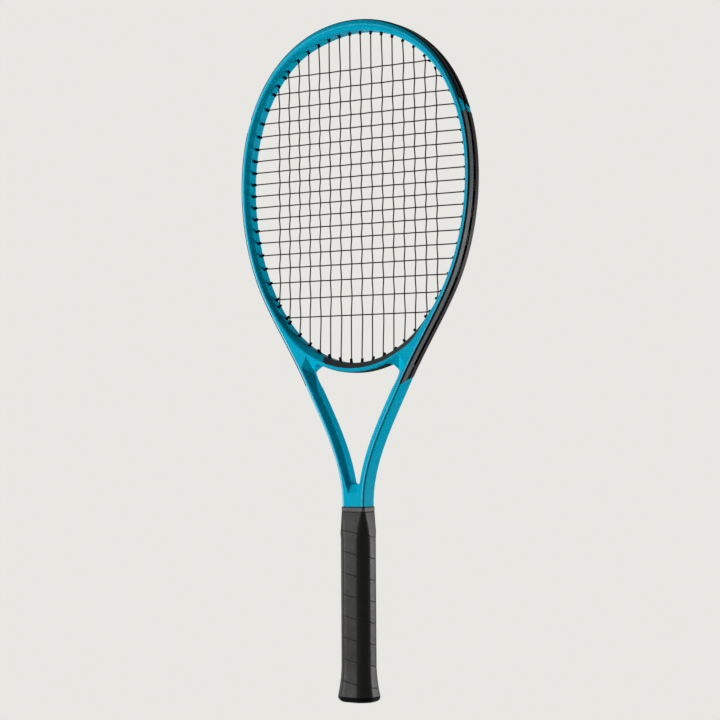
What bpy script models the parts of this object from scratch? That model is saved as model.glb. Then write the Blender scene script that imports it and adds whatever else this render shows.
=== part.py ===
"""A strung tennis racket, upright on its butt cap.

Metres. +Z runs up the handle to the tip, X lies across the string bed, and -Y is the front face.
The origin is the middle of the butt end.
"""

import bisect
import math

import bmesh
import bpy
from mathutils import Matrix, Vector

# Overall sizes
RACKET_LENGTH = 0.685  # butt to tip, over the bumper guard
HEAD_LENGTH = 0.3332  # inside the hoop, along the racket
HEAD_WIDTH = 0.252  # inside the hoop, across the racket at half its length
HEAD_EGG = 0.078  # how much the tip half is wider than the throat half
HEAD_FULLNESS = 0.064  # how much both ends are fuller than an ellipse

# Frame tube
FRAME_THICKNESS = 0.0205  # front face to back face
HOOP_WIDTH = 0.0099  # inner wall to outer wall at the sides of the hoop
TIP_WIDTH = 0.0126  # the same at the tip
ARM_WIDTH = 0.0092
BRIDGE_WIDTH = 0.0078
SHAFT_WIDTH = 0.0258
OUTER_EDGE = 0.0013  # chamfer along the outside
HOOP_EDGE = 0.0033  # chamfer round the inside of the hoop, across the face
HOOP_EDGE_DEPTH = 0.0044  # the same, down the wall
THROAT_EDGE = 0.0039  # chamfer along the arms inside the throat, across the face
THROAT_EDGE_DEPTH = 0.0046
BRIDGE_LIP = 0.0012  # chamfer under the bridge
TUBE_WALL = 0.0013

# Run of the two throat arms, measured on their outside
HOOP_END_ANGLE = math.radians(-35.0)  # where an arm leaves the hoop, below the middle
ARM_MIDDLE_X = 0.0570
ARM_MIDDLE_DROP = 0.0215  # below the inside of the hoop
ARM_LEAN = math.radians(26.85)
SHAFT_TOP_Z = 0.1967
SHOULDER = 0.0008  # height of the step from the shaft in to the core
CORNER_RADIUS = 0.0078  # arc that the cut across an upper corner of the throat spans
CORNER_REACH = 0.0159  # from that cut out along the bridge to the point of its facet
FACET_RISE = 0.0101  # top of the arm's chamfer above the corner
CROTCH_RISE = 0.0197  # flat bottom of the throat above the top of the shaft
CROTCH_DROP = 0.0090  # from there down to the end of its chamfer

# Strings and their holes
STRING_RADIUS = 0.00065
STRING_GAP = 0.0004  # between the layer of mains and the layer of crosses
MAIN_PAIRS = 8
MAIN_SPACING = 0.01255
CROSS_COUNT = 19
FIRST_CROSS_DROP = 0.0367  # below the inside of the tip
CROSS_SPACING = 0.0121  # in the middle of the head
TIP_SPREAD = 0.0043  # wider spacing at the tip end
THROAT_SPREAD = 0.0072  # wider spacing at the throat end
KNOT_RADIUS = 0.0011
BRIDGE_REACH = 0.048  # mains closer to the middle than this are carried by the bridge
BRIDGE_LEAN = 12.0  # slope of a bridge hole towards the middle, for each metre away from it

# Grommet strips, which lie in a channel round the outside of the hoop
CLEARANCE = 0.0003
CHANNEL_DEPTH = 0.0030
CHANNEL_MOUTH = 0.0148
CHANNEL_FLOOR = 0.0128
CHANNEL_RAMP = 0.0020
BRIDGE_MOUTH = 0.0110  # the narrower channel under the bridge
BRIDGE_FLOOR = 0.0094
STRIP_BASE = 0.0010  # plastic under the string groove
STRIP_PROUD = 0.0009
BRIDGE_STRIP_PROUD = 0.0022
BUMPER_PROUD = 0.0013
GROOVE_WIDTH = 0.0044
BORE_RADIUS = 0.00105
BARREL_WALL = 0.0007
BARREL_STAND = 0.0012  # barrel beyond the inner wall
BUMPER_CROSSES = 4  # crosses on each side that the bumper guard carries
STRIP_FIRST_LEAD = 0.0035  # strip above its first cross
STRIP_TAIL = 0.0150  # strip below its last main
BUMPER_TAIL = 0.0035  # bumper guard below its last cross
BRIDGE_STRIP_TAIL = 0.0030

# Handle
HANDLE_TOP_Z = 0.1890
HANDLE_WIDTH = 0.0308  # across the pallets
HANDLE_DEPTH = 0.0248
HANDLE_BEVEL = 0.0068
HANDLE_TOP_WIDTH = 0.0276
HANDLE_TOP_DEPTH = 0.0222
HANDLE_TAPER = 0.0400  # length of the taper at the top
FLARE_HEIGHT = 0.0380
FLARE = 0.0082  # extra width and depth at the butt
CORE_WIDTH = 0.0215  # frame inside the pallets
CORE_DEPTH = 0.0155
CORE_EDGE = 0.0020
CORE_BOTTOM_Z = 0.0100
CORE_WALL = 0.0018
CORE_WEB = 0.0024  # wall between the frame's two legs
PLUG_LENGTH = 0.0180

# Butt cap, its door and its staples
CAP_HEIGHT = 0.0300
CAP_WALL = 0.0013
CAP_FLOOR = 0.0036
RIM_HEIGHT = 0.0052
RIM_ROUND = 0.0024
DOOR_WIDTH = 0.0180
DOOR_DEPTH = 0.0110
DOOR_LIP = 0.0018
DOOR_PLATE = 0.0015
DOOR_PLUG_HEIGHT = 0.0046
STAPLE_WIRE = 0.0005
STAPLE_SPREAD = 0.0070
STAPLE_Z = 0.0160
STAPLE_STOP = 0.00145  # from the tips of a staple to the frame's core

# Grip and collar
GRIP_THICKNESS = 0.0017
GRIP_PITCH = 0.0214
GRIP_SEAM = 0.0007  # gap between turns, along the handle
GRIP_START = 4  # corner of the handle where the grip starts, counted from the front right
COLLAR_HEIGHT = 0.0055
COLLAR_WALL = 0.0008
COLLAR_CLEARANCE = 0.0004

# Faces along each curve
HOOP_STEPS = 22
ARM_STEPS = 8
INNER_STEPS = 26
BRIDGE_STEPS = 8
FLARE_STEPS = 4
ROUND_SIDES = 6
LOOP_STEP = 0.007  # straight pieces of a string loop outside the frame
FINE = 160  # points on a smooth curve before its faces are set out
WELD = 0.000002  # points closer than this are one point

# Sizes that follow from the ones above
TIP_Z = RACKET_LENGTH - BUMPER_PROUD - TIP_WIDTH
HEAD_MIDDLE_Z = TIP_Z - HEAD_LENGTH / 2
THROAT_Z = TIP_Z - HEAD_LENGTH
MAIN_Y = -(STRING_RADIUS + STRING_GAP / 2)
CROSS_Y = -MAIN_Y
BARREL_RADIUS = BORE_RADIUS + BARREL_WALL
HOLE_RADIUS = BARREL_RADIUS + CLEARANCE / math.cos(math.pi / ROUND_SIDES)
MOUTH = BARREL_STAND + STRING_RADIUS
GROOVE_FLOOR = CHANNEL_DEPTH - CLEARANCE - STRIP_BASE
STRING_INSET = GROOVE_FLOOR - CLEARANCE - STRING_RADIUS
BEND = 0.75 * STRING_RADIUS
SHAFT_BOTTOM_Z = HANDLE_TOP_Z + SHOULDER
CROTCH_Z = SHAFT_TOP_Z + CROTCH_RISE

TEAL = (0.0, 0.29, 0.38)
BLACK = (0.012, 0.012, 0.012)
CHARCOAL = (0.035, 0.035, 0.038)
FOAM = (0.62, 0.58, 0.45)
STEEL = (0.55, 0.55, 0.56)


class Path:
    """A smooth line in the X-Z plane, measured from where it crosses the middle of the racket.

    Negative distances give its mirror image. side is 1 where the air is on the left of the line
    and -1 where it is on the right.
    """

    def __init__(self, points, side):
        self.points = points
        self.side = side
        self.distances = [0.0]
        for near, far in zip(points, points[1:]):
            self.distances.append(self.distances[-1] + (far - near).length)
        self.length = self.distances[-1]

    def point(self, distance):
        distance = min(max(distance, 0.0), self.length)
        index = min(bisect.bisect_right(self.distances, distance), len(self.points) - 1)
        near, far = self.distances[index - 1], self.distances[index]
        return self.points[index - 1].lerp(self.points[index], (distance - near) / (far - near))

    def way_out(self, distance):
        reach = self.length / (2 * FINE)
        along = self.point(distance + reach) - self.point(distance - reach)
        if distance <= 0.0 or (distance >= self.length and abs(self.points[-1].x) < 1e-9):
            along.y = 0.0
        along.normalize()
        return Vector((-along.y, along.x)) * self.side

    def place(self, distance, inset=0.0):
        """The point at a distance, sunk into the material by inset, and the way out of the material."""
        point, out = self.point(abs(distance)), self.way_out(abs(distance))
        if distance < 0.0:
            point, out = mirrored(point), mirrored(out)
        return point - out * inset, out

    def hit(self, start, direction):
        """The distance at which a ray from start crosses the line, for a start on the side of +X."""
        across = Vector((-direction.y, direction.x))
        for index, (near, far) in enumerate(zip(self.points, self.points[1:])):
            before, after = (near - start).dot(across), (far - start).dot(across)
            if before * after <= 0.0 and before != after and (near - start).dot(direction) > 0.0:
                share = before / (before - after)
                return self.distances[index] + share * (far - near).length
        raise ValueError("a string hole misses the outside of the frame")


def mirrored(point):
    return Vector((-point.x, point.y))


def solve(function, low, high):
    """Where a function that is negative at low and positive at high crosses zero."""
    for _ in range(60):
        middle = (low + high) / 2
        if function(middle) < 0.0:
            low = middle
        else:
            high = middle
    return (low + high) / 2


def span(low, high, steps):
    return [low + (high - low) * step / steps for step in range(steps + 1)]


def closing_span(low, high, steps):
    """Steps that get shorter towards high."""
    return [high - (high - low) * (1 - step / steps) ** 2 for step in range(steps + 1)]


# The inside of the hoop
def oval(angle):
    """A point on the right half of the inside of the hoop, from the throat (-90 degrees) to the tip."""
    rise = math.sin(angle)
    half_width = HEAD_WIDTH / 2 * (1 + HEAD_EGG * rise + HEAD_FULLNESS * rise * rise)
    return Vector((half_width * math.cos(angle), HEAD_MIDDLE_Z + HEAD_LENGTH / 2 * rise))


def oval_out(angle):
    """The way from the string bed into the frame."""
    step = 1e-5
    along = oval(angle + step) - oval(angle - step)
    return Vector((along.y, -along.x)).normalized()


def oval_offset(angle, offset):
    return oval(angle) + oval_out(angle) * offset


def hoop_width(angle):
    rise = max(math.sin(angle), 0.0)
    return HOOP_WIDTH + (TIP_WIDTH - HOOP_WIDTH) * rise * rise


def curve_between(start, start_way, end, end_way):
    """A smooth curve that leaves start and reaches end in the given directions."""
    reach = (end - start).length / 3
    first, last = start + start_way * reach, end - end_way * reach
    points = []
    for share in span(0.0, 1.0, FINE):
        rest = 1.0 - share
        points.append(
            start * rest**3 + first * 3 * rest**2 * share + last * 3 * rest * share**2 + end * share**3
        )
    return points


# The outside of the frame, from the tip down one side to the shaft
def outer_points():
    angles = span(math.pi / 2, HOOP_END_ANGLE, 2 * FINE)
    hoop = [oval_offset(angle, hoop_width(angle)) for angle in angles]
    hoop[0].x = 0.0
    leave = (hoop[-1] - hoop[-2]).normalized()
    middle = Vector((ARM_MIDDLE_X, THROAT_Z - ARM_MIDDLE_DROP))
    lean = Vector((-math.sin(ARM_LEAN), -math.cos(ARM_LEAN)))
    upper_arm = curve_between(hoop[-1], leave, middle, lean)
    down = Vector((0.0, -1.0))
    shaft_top = Vector((SHAFT_WIDTH / 2, SHAFT_TOP_Z))
    lower_arm = curve_between(middle, lean, shaft_top, down)
    shaft = [shaft_top.lerp(Vector((SHAFT_WIDTH / 2, SHAFT_BOTTOM_Z)), share) for share in (0.5, 1.0)]
    return hoop, upper_arm[1:], lower_arm[1:], shaft


OUTER_PIECES = outer_points()
OUTER = Path([point for piece in OUTER_PIECES for point in piece], 1)


def distance_after(pieces):
    """The distance along the outside at the end of its first few pieces."""
    count = sum(len(piece) for piece in OUTER_PIECES[:pieces])
    return OUTER.distances[count - 1]


HOOP_END, ARM_MIDDLE, ARM_END = (distance_after(pieces) for pieces in (1, 2, 3))


# The throat opening, from the middle of the bridge round to the crotch
def throat_points():
    def foot(point):
        """The angle on the inside of the hoop that is closest to a point below it."""

        def ahead(angle):
            out = oval_out(angle)
            return (oval(angle) - point).dot(Vector((-out.y, out.x)))

        return solve(ahead, -math.pi / 2, HOOP_END_ANGLE)

    def corner_centre(distance):
        return OUTER.place(distance, ARM_WIDTH + CORNER_RADIUS)[0]

    def below_bridge(distance):
        centre = corner_centre(distance)
        return (centre - oval(foot(centre))).length - BRIDGE_WIDTH - CORNER_RADIUS

    corner_distance = solve(below_bridge, HOOP_END, ARM_END)
    centre = corner_centre(corner_distance)
    top_angle = foot(centre)
    crotch_distance = solve(
        lambda distance: CROTCH_Z - OUTER.place(distance, ARM_WIDTH)[0].y, corner_distance, ARM_END
    )
    top = [oval_offset(angle, BRIDGE_WIDTH) for angle in span(-math.pi / 2, top_angle, FINE)]
    top[0].x = 0.0
    side = [OUTER.place(distance, ARM_WIDTH)[0] for distance in span(corner_distance, crotch_distance, FINE)]
    bottom = [Vector((0.0, side[-1].y))]

    def bridge_edge(angle):
        return oval_offset(angle, BRIDGE_WIDTH - BRIDGE_LIP)

    facet_angle = solve(
        lambda angle: (bridge_edge(angle) - bridge_edge(top_angle)).length - CORNER_REACH,
        top_angle, HOOP_END_ANGLE,
    )
    arm_top = OUTER.place(corner_distance - FACET_RISE, ARM_WIDTH - THROAT_EDGE)[0]
    return (top, side, bottom), (bridge_edge(facet_angle), arm_top)


THROAT_PIECES, (CORNER_POINT, ARM_TOP) = throat_points()
THROAT = Path([point for piece in THROAT_PIECES for point in piece], -1)


# String holes
class Hole:
    """A string hole: the string's mouth inside the hoop, the hole's way out and where it ends."""

    def __init__(self, angle, mirror, by_bridge):
        inner, way = oval(angle), oval_out(angle)
        self.mouth = inner - way * MOUTH
        self.path = THROAT if by_bridge else OUTER
        if by_bridge:
            way = Vector((-BRIDGE_LEAN * inner.x, -1.0)).normalized()
        self.exit = self.path.hit(self.mouth, way)
        if mirror:
            self.mouth, way, self.exit = mirrored(self.mouth), mirrored(way), -self.exit
        self.way = way

    def sunk(self, inset):
        """The point on the hole's axis that lies inset below the outside of the frame."""
        outside, out = self.path.place(self.exit)
        return outside - self.way * (inset / self.way.dot(out))


def mouth_at(angle):
    return oval_offset(angle, -MOUTH)


def main_holes():
    """The holes of each main, from left to right: its throat end and its tip end."""
    widest = solve(lambda angle: mouth_at(angle - 1e-3).x - mouth_at(angle).x, -0.5, 0.8)
    pairs = []
    for index in range(-MAIN_PAIRS, MAIN_PAIRS):
        x = (index + 0.5) * MAIN_SPACING
        low = solve(lambda angle: mouth_at(angle).x - abs(x), -math.pi / 2, widest)
        high = solve(lambda angle: abs(x) - mouth_at(angle).x, widest, math.pi / 2)
        pairs.append((Hole(low, x < 0, abs(x) < BRIDGE_REACH), Hole(high, x < 0, False)))
    return pairs


def cross_heights():
    heights = [TIP_Z - FIRST_CROSS_DROP]
    gaps = CROSS_COUNT - 1
    for index in range(gaps):
        place = (2 * index + 1 - gaps) / (gaps - 1)
        spread = THROAT_SPREAD if place > 0 else TIP_SPREAD
        heights.append(heights[-1] - CROSS_SPACING - spread * abs(place) ** 3)
    return heights


def cross_holes():
    """The holes of each cross, from the tip down: its left end and its right end."""
    pairs = []
    for height in cross_heights():
        angle = solve(lambda angle: mouth_at(angle).y - height, -math.pi / 2, math.pi / 2)
        pairs.append((Hole(angle, True, False), Hole(angle, False, False)))
    return pairs


MAINS = main_holes()
CROSSES = cross_holes()
SIDE_MAINS = MAIN_PAIRS - sum((index + 0.5) * MAIN_SPACING < BRIDGE_REACH for index in range(MAIN_PAIRS))

# Where the strips begin and end, as distances along the outside of the frame
BUMPER_END = CROSSES[BUMPER_CROSSES - 1][1].exit + BUMPER_TAIL
STRIP_START = CROSSES[BUMPER_CROSSES][1].exit - STRIP_FIRST_LEAD
STRIP_END = MAINS[-SIDE_MAINS][0].exit + STRIP_TAIL
BRIDGE_STRIP_END = max(abs(low.exit) for low, _ in MAINS if low.path is THROAT) + BRIDGE_STRIP_TAIL


# Channels for the strips: depth, width at the mouth and width at the floor
STRIP_CHANNEL = (CHANNEL_DEPTH, CHANNEL_MOUTH, CHANNEL_FLOOR)
BRIDGE_CHANNEL = (CHANNEL_DEPTH, BRIDGE_MOUTH, BRIDGE_FLOOR)
STRING_CHANNEL = (GROOVE_FLOOR, GROOVE_WIDTH, GROOVE_WIDTH)
NO_CHANNEL = (0.0, BRIDGE_MOUTH, BRIDGE_FLOOR)


def outer_channel(distance):
    """The channel at a distance along the outside: the string's own groove lies between two strips."""
    if distance <= BUMPER_END + 1.5 * CLEARANCE:
        return STRIP_CHANNEL
    if distance < STRIP_START - 1.5 * CLEARANCE:
        return STRING_CHANNEL
    if distance <= STRIP_END + 1.5 * CLEARANCE:
        return STRIP_CHANNEL
    return NO_CHANNEL


def bridge_channel(distance):
    return BRIDGE_CHANNEL if distance <= BRIDGE_STRIP_END + 1.5 * CLEARANCE else NO_CHANNEL


def with_ends(distances, strip_ends):
    """Distances for the faces along a curve, with the ends of each strip and of its channel among them."""
    fixed = []
    for end, way in strip_ends:
        fixed += [end, end + way * CLEARANCE, end + way * (CLEARANCE + CHANNEL_RAMP)]
    close = 2 * CHANNEL_RAMP
    even = [d for d in distances if all(abs(d - end) > close for end in fixed)]
    return sorted(set(even + fixed + [distances[0], distances[-1]]))


OUTER_STATIONS = with_ends(
    span(0.0, HOOP_END, HOOP_STEPS)
    + span(HOOP_END, ARM_MIDDLE, ARM_STEPS)[1:]
    + closing_span(ARM_MIDDLE, ARM_END, ARM_STEPS)[1:]
    + [OUTER.length],
    [(BUMPER_END, 1), (STRIP_START, -1), (STRIP_END, 1)],
)


def throat_ends():
    """Distances along the throat to the corner under the bridge, the top of the arm and the crotch."""
    top, side, _ = (len(piece) for piece in THROAT_PIECES)
    return THROAT.distances[top - 1], THROAT.distances[top], THROAT.distances[top + side - 1]


CORNER_START, CORNER_END, CROTCH = throat_ends()
THROAT_STATIONS = with_ends(
    span(0.0, CORNER_START, BRIDGE_STEPS) + span(CORNER_END, CROTCH, ARM_STEPS) + [THROAT.length],
    [(BRIDGE_STRIP_END, 1)],
)


# Scene, materials and meshes
def clear_scene():
    for old in list(bpy.data.objects):
        bpy.data.objects.remove(old, do_unlink=True)


def collection(name):
    made = bpy.data.collections.new(name)
    bpy.context.scene.collection.children.link(made)
    return made


def finish_mesh(bm, name):
    bmesh.ops.remove_doubles(bm, verts=bm.verts, dist=WELD)
    bmesh.ops.recalc_face_normals(bm, faces=bm.faces)
    mesh = bpy.data.meshes.new(name)
    bm.to_mesh(mesh)
    bm.free()
    return mesh


def part(name, mesh, colour, roughness, metallic=0.0, origin=(0.0, 0.0, 0.0)):
    """A named piece with its own material, whose mesh is given round its origin."""
    material = bpy.data.materials.new(name)
    material.use_nodes = True
    shader = material.node_tree.nodes["Principled BSDF"]
    shader.inputs["Base Color"].default_value = (*colour, 1.0)
    shader.inputs["Roughness"].default_value = roughness
    shader.inputs["Metallic"].default_value = metallic
    mesh.materials.append(material)
    mesh.shade_smooth()
    mesh.set_sharp_from_angle(angle=math.radians(30.0))
    piece = bpy.data.objects.new(name, mesh)
    piece.location = origin
    PIECES.objects.link(piece)
    return piece


def cutter(name, mesh):
    tool = bpy.data.objects.new(name, mesh)
    tool.hide_render = True
    tool.display_type = "WIRE"
    CUTTERS.objects.link(tool)
    return tool


def boolean(piece, tool, operation):
    modifier = piece.modifiers.new(tool.name, "BOOLEAN")
    modifier.operation = operation
    modifier.solver = "EXACT"
    modifier.use_self = True
    modifier.object = tool


def loft(name, rings, wrap=False):
    """A closed solid through rings of points: capped at its ends, or joined round to its start."""
    bm = bmesh.new()
    loops = [[bm.verts.new(point) for point in ring] for ring in rings]
    count = len(loops[0])
    pairs = list(zip(loops, loops[1:]))
    if wrap:
        pairs.append((loops[-1], loops[0]))
    else:
        bm.faces.new(loops[0])
        bm.faces.new(loops[-1])
    for near, far in pairs:
        for index in range(count):
            after = (index + 1) % count
            bm.faces.new((near[index], near[after], far[after], far[index]))
    return finish_mesh(bm, name)


def level(outline, z):
    """An outline in the X-Y plane as a ring at a height."""
    return [(x, y, z) for x, y in outline]


def octagon(width, depth, bevel, offset=0.0):
    """A rectangle with bevelled corners, grown on all sides by offset."""
    x, y = width / 2 + offset, depth / 2 + offset
    bevel += offset * (2 - math.sqrt(2))
    return [
        (x, -y + bevel), (x, y - bevel), (x - bevel, y), (-x + bevel, y),
        (-x, y - bevel), (-x, -y + bevel), (-x + bevel, -y), (x - bevel, -y),
    ]


def rectangle(width, depth, offset=0.0):
    x, y = width / 2 + offset, depth / 2 + offset
    return [(x, -y), (x, y), (-x, y), (-x, -y)]


def tube(name, points, radii):
    """A round wire along a line of points, as a welded mesh."""
    curve = bpy.data.curves.new(name, "CURVE")
    curve.dimensions = "3D"
    curve.bevel_depth = 1.0
    curve.bevel_resolution = ROUND_SIDES // 2 - 2
    curve.use_fill_caps = True
    spline = curve.splines.new("POLY")
    spline.points.add(len(points) - 1)
    for target, point, radius in zip(spline.points, points, radii):
        target.co = (*point, 1.0)
        target.radius = radius
    guide = bpy.data.objects.new(name, curve)
    CUTTERS.objects.link(guide)
    mesh = bpy.data.meshes.new_from_object(guide.evaluated_get(bpy.context.evaluated_depsgraph_get()))
    bpy.data.objects.remove(guide, do_unlink=True)
    bm = bmesh.new()
    bm.from_mesh(mesh)
    bpy.data.meshes.remove(mesh)
    return finish_mesh(bm, name)


def rods(name, ends, radius):
    """Round bars between pairs of points, each given in the X-Z plane with its place in Y."""
    bm = bmesh.new()
    for start, end, y in ends:
        along = Vector((end.x - start.x, 0.0, end.y - start.y))
        middle = Vector(((start.x + end.x) / 2, y, (start.y + end.y) / 2))
        turn = along.to_track_quat("Z", "Y").to_matrix().to_4x4()
        bmesh.ops.create_cone(
            bm, cap_ends=True, segments=ROUND_SIDES, radius1=radius, radius2=radius, depth=along.length,
            matrix=Matrix.Translation(middle) @ turn,
        )
    return finish_mesh(bm, name)


# Frame
def both_halves(place, out, profile):
    """Points from front to back: a profile of depths below a place and half widths, and its mirror image."""
    line = [(inset, -y) for inset, y in profile] + [(inset, y) for inset, y in reversed(profile)]
    return [(place.x - out.x * inset, y, place.y - out.y * inset) for inset, y in line]


def edge_column(place, out, thickness, edge, depth, channel=None, corner=None):
    """Points across the frame's edge from front to back, at one place along it.

    edge and depth are the chamfer's size across the face and down the wall. corner is the chamfer's
    place on the face where it isn't straight behind the wall.
    """
    half = thickness / 2
    side = half - depth
    profile = [(0.0, side)]
    if channel:
        sunk, mouth, floor = channel
        profile += [(0.0, min(mouth / 2, side - CLEARANCE)), (sunk, min(floor / 2, side - 2 * CLEARANCE))]
    face = corner or place - out * edge
    return [(face.x, -half, face.y)] + both_halves(place, out, profile) + [(face.x, half, face.y)]


def throat_columns():
    """The columns round the throat, from under the bridge to the crotch."""
    bridge = [distance for distance in THROAT_STATIONS if distance < CORNER_START]
    arm = [distance for distance in THROAT_STATIONS if CORNER_END < distance < CROTCH]
    columns = []
    for distance in bridge:
        lip = (FRAME_THICKNESS, BRIDGE_LIP, BRIDGE_LIP, bridge_channel(distance))
        columns.append(edge_column(*THROAT.place(distance), *lip))
    chamfer = (FRAME_THICKNESS, THROAT_EDGE, THROAT_EDGE_DEPTH, NO_CHANNEL)
    for distance, corner in ((CORNER_START, CORNER_POINT), (CORNER_END, CORNER_POINT), (CORNER_END, ARM_TOP)):
        columns.append(edge_column(*THROAT.place(distance), *chamfer, corner))
    columns += [edge_column(*THROAT.place(distance), *chamfer) for distance in arm]
    for distance in (CROTCH, THROAT.length):
        place, out = THROAT.place(distance)
        columns.append(edge_column(place, out, *chamfer, place - Vector((0.0, CROTCH_DROP))))
    return columns


def hoop_path():
    points = [oval(angle) for angle in span(math.pi / 2, -math.pi / 2, 2 * FINE)]
    points[0].x = 0.0
    points[-1].x = 0.0
    return Path(points, -1)


def frame_half():
    """The right half of the frame, open along the middle of the racket."""
    bm = bmesh.new()

    def column(points):
        return [bm.verts.new(point) for point in points]

    def skin(columns):
        for near, far in zip(columns, columns[1:]):
            for index in range(len(near) - 1):
                bm.faces.new((near[index], near[index + 1], far[index + 1], far[index]))

    right = Vector((1.0, 0.0))
    core_places = [Vector((CORE_WIDTH / 2, z)) for z in (CORE_BOTTOM_Z, HANDLE_TOP_Z)]
    core_edge = (CORE_DEPTH, CORE_EDGE, CORE_EDGE, NO_CHANNEL)
    core = [column(edge_column(place, right, *core_edge)) for place in core_places]
    outside = []
    for distance in reversed(OUTER_STATIONS):
        outer_edge = (FRAME_THICKNESS, OUTER_EDGE, OUTER_EDGE, outer_channel(distance))
        outside.append(column(edge_column(*OUTER.place(distance), *outer_edge)))
    skin(core + outside)

    hoop_line = hoop_path()
    hoop_edge = (FRAME_THICKNESS, HOOP_EDGE, HOOP_EDGE_DEPTH)
    hoop = [
        column(edge_column(*hoop_line.place(distance), *hoop_edge))
        for distance in span(0.0, hoop_line.length, INNER_STEPS)
    ]
    skin(hoop)

    throat = [column(points) for points in throat_columns()]
    skin(throat)

    for side, face in ((-1, 0), (1, -1)):
        middles = []
        for z, depth in ((CORE_BOTTOM_Z, CORE_DEPTH), (HANDLE_TOP_Z, CORE_DEPTH), (SHAFT_BOTTOM_Z, FRAME_THICKNESS)):
            middles.append(bm.verts.new((0.0, side * depth / 2, z)))
        edge = [line[face] for line in core + outside]
        for index in range(len(core)):
            bm.faces.new((edge[index], edge[index + 1], middles[index + 1], middles[index]))
        bm.faces.new(
            [middles[-1]]
            + edge[len(core):]
            + [line[face] for line in hoop]
            + [line[face] for line in throat]
        )
        if side < 0:
            front_middle = middles[0]
        else:
            bm.faces.new(core[0] + [middles[0], front_middle])
    return finish_mesh(bm, "frame")


def hollow_ring(place, out, near, far, half_depth):
    """The hollow's section at one place along the tube, from near to far below the outside."""
    slope = (far - near) / 3
    return both_halves(
        place, out, [(near, half_depth - slope), (far - slope, half_depth), (far, half_depth - 2 * slope)]
    )


def leg_ring(z, side, offset=0.0):
    """The hollow of one leg of the frame inside the handle, shrunk by offset."""
    place, out = Vector((side * CORE_WIDTH / 2, z)), Vector((side, 0.0))
    near, far = CORE_WALL + offset, (CORE_WIDTH - CORE_WEB) / 2 - offset
    return hollow_ring(place, out, near, far, CORE_DEPTH / 2 - CORE_WALL - offset)


def hollow_mesh():
    """The hollow of the tube, from one open leg up round the hoop and down to the other."""
    near, far = CHANNEL_DEPTH + TUBE_WALL, min(HOOP_WIDTH, ARM_WIDTH) - TUBE_WALL
    half_depth = FRAME_THICKNESS / 2 - 2 * TUBE_WALL
    leg_ends = (CORE_BOTTOM_Z - CORE_WALL, HANDLE_TOP_Z)
    both_sides = [-distance for distance in reversed(OUTER_STATIONS[1:])] + OUTER_STATIONS
    rings = [leg_ring(z, -1) for z in leg_ends]
    rings += [hollow_ring(*OUTER.place(distance), near, far, half_depth) for distance in both_sides]
    rings += [leg_ring(z, 1) for z in reversed(leg_ends)]
    return loft("tube hollow", rings)


def all_holes():
    holes = [(hole, MAIN_Y) for pair in MAINS for hole in pair]
    return holes + [(hole, CROSS_Y) for pair in CROSSES for hole in pair]


def build_frame():
    frame = part("frame", frame_half(), TEAL, 0.28)
    mirror = frame.modifiers.new("both sides", "MIRROR")
    mirror.use_axis = (True, False, False)
    mirror.merge_threshold = 0.00001
    boolean(frame, cutter("tube hollow", hollow_mesh()), "DIFFERENCE")
    drills = [(hole.mouth, hole.sunk(-CHANNEL_DEPTH), y) for hole, y in all_holes()]
    boolean(frame, cutter("string holes", rods("string holes", drills, HOLE_RADIUS)), "DIFFERENCE")


# Grommet strips
def build_strip(name, path, distances, channel, proud, holes, colour):
    """A strip in a stretch of the frame's channel, grooved for the string, with a barrel for each hole."""
    depth, mouth, floor = channel
    groove = GROOVE_WIDTH / 2
    profile = [
        (depth - CLEARANCE, floor / 2 - CLEARANCE), (-proud, mouth / 2 - CLEARANCE),
        (-proud, groove), (GROOVE_FLOOR, groove),
    ]
    rings = [both_halves(*path.place(distance), profile) for distance in distances]
    strip = part(name, loft(name, rings), colour, 0.5)
    root = GROOVE_FLOOR + STRIP_BASE / 2
    barrels = [(hole.mouth + hole.way * STRING_RADIUS, hole.sunk(root), y) for hole, y in holes]
    bores = [(hole.mouth, hole.sunk(STRING_INSET), y) for hole, y in holes]
    boolean(strip, cutter(name + " barrels", rods(name, barrels, BARREL_RADIUS)), "UNION")
    boolean(strip, cutter(name + " bores", rods(name, bores, BORE_RADIUS)), "DIFFERENCE")


def build_strips():
    over = [distance for distance in OUTER_STATIONS if distance <= BUMPER_END]
    tip_holes = [(tip, MAIN_Y) for _, tip in MAINS]
    tip_holes += [(hole, CROSS_Y) for pair in CROSSES[:BUMPER_CROSSES] for hole in pair]
    both_sides = [-distance for distance in reversed(over[1:])] + over
    build_strip("bumper_guard", OUTER, both_sides, STRIP_CHANNEL, BUMPER_PROUD, tip_holes, BLACK)

    along = [distance for distance in OUTER_STATIONS if STRIP_START <= distance <= STRIP_END]
    for name, side, end in (("grommet_strip_left", -1, 0), ("grommet_strip_right", 1, 1)):
        mains = MAINS[:SIDE_MAINS] if side < 0 else MAINS[-SIDE_MAINS:]
        holes = [(low, MAIN_Y) for low, _ in mains]
        holes += [(pair[end], CROSS_Y) for pair in CROSSES[BUMPER_CROSSES:]]
        places = [side * distance for distance in along]
        build_strip(name, OUTER, places, STRIP_CHANNEL, STRIP_PROUD, holes, CHARCOAL)

    under = [distance for distance in THROAT_STATIONS if distance <= BRIDGE_STRIP_END]
    bridge_holes = [(low, MAIN_Y) for low, _ in MAINS if low.path is THROAT]
    both_ways = [-distance for distance in reversed(under[1:])] + under
    build_strip("throat_grommet_strip", THROAT, both_ways, BRIDGE_CHANNEL, BRIDGE_STRIP_PROUD, bridge_holes, BLACK)


# Strings
def loop_between(first, second):
    """The string's way outside the frame, out of one hole, along the groove and into the next."""
    way = math.copysign(BEND, second.exit - first.exit)
    steps = max(2, round(abs(second.exit - first.exit) / LOOP_STEP))
    stops = span(first.exit + way, second.exit - way, steps)
    return (
        [first.sunk(STRING_INSET) - first.way * BEND]
        + [first.path.place(stop, STRING_INSET)[0] for stop in stops]
        + [second.sunk(STRING_INSET) - second.way * BEND]
    )


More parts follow.
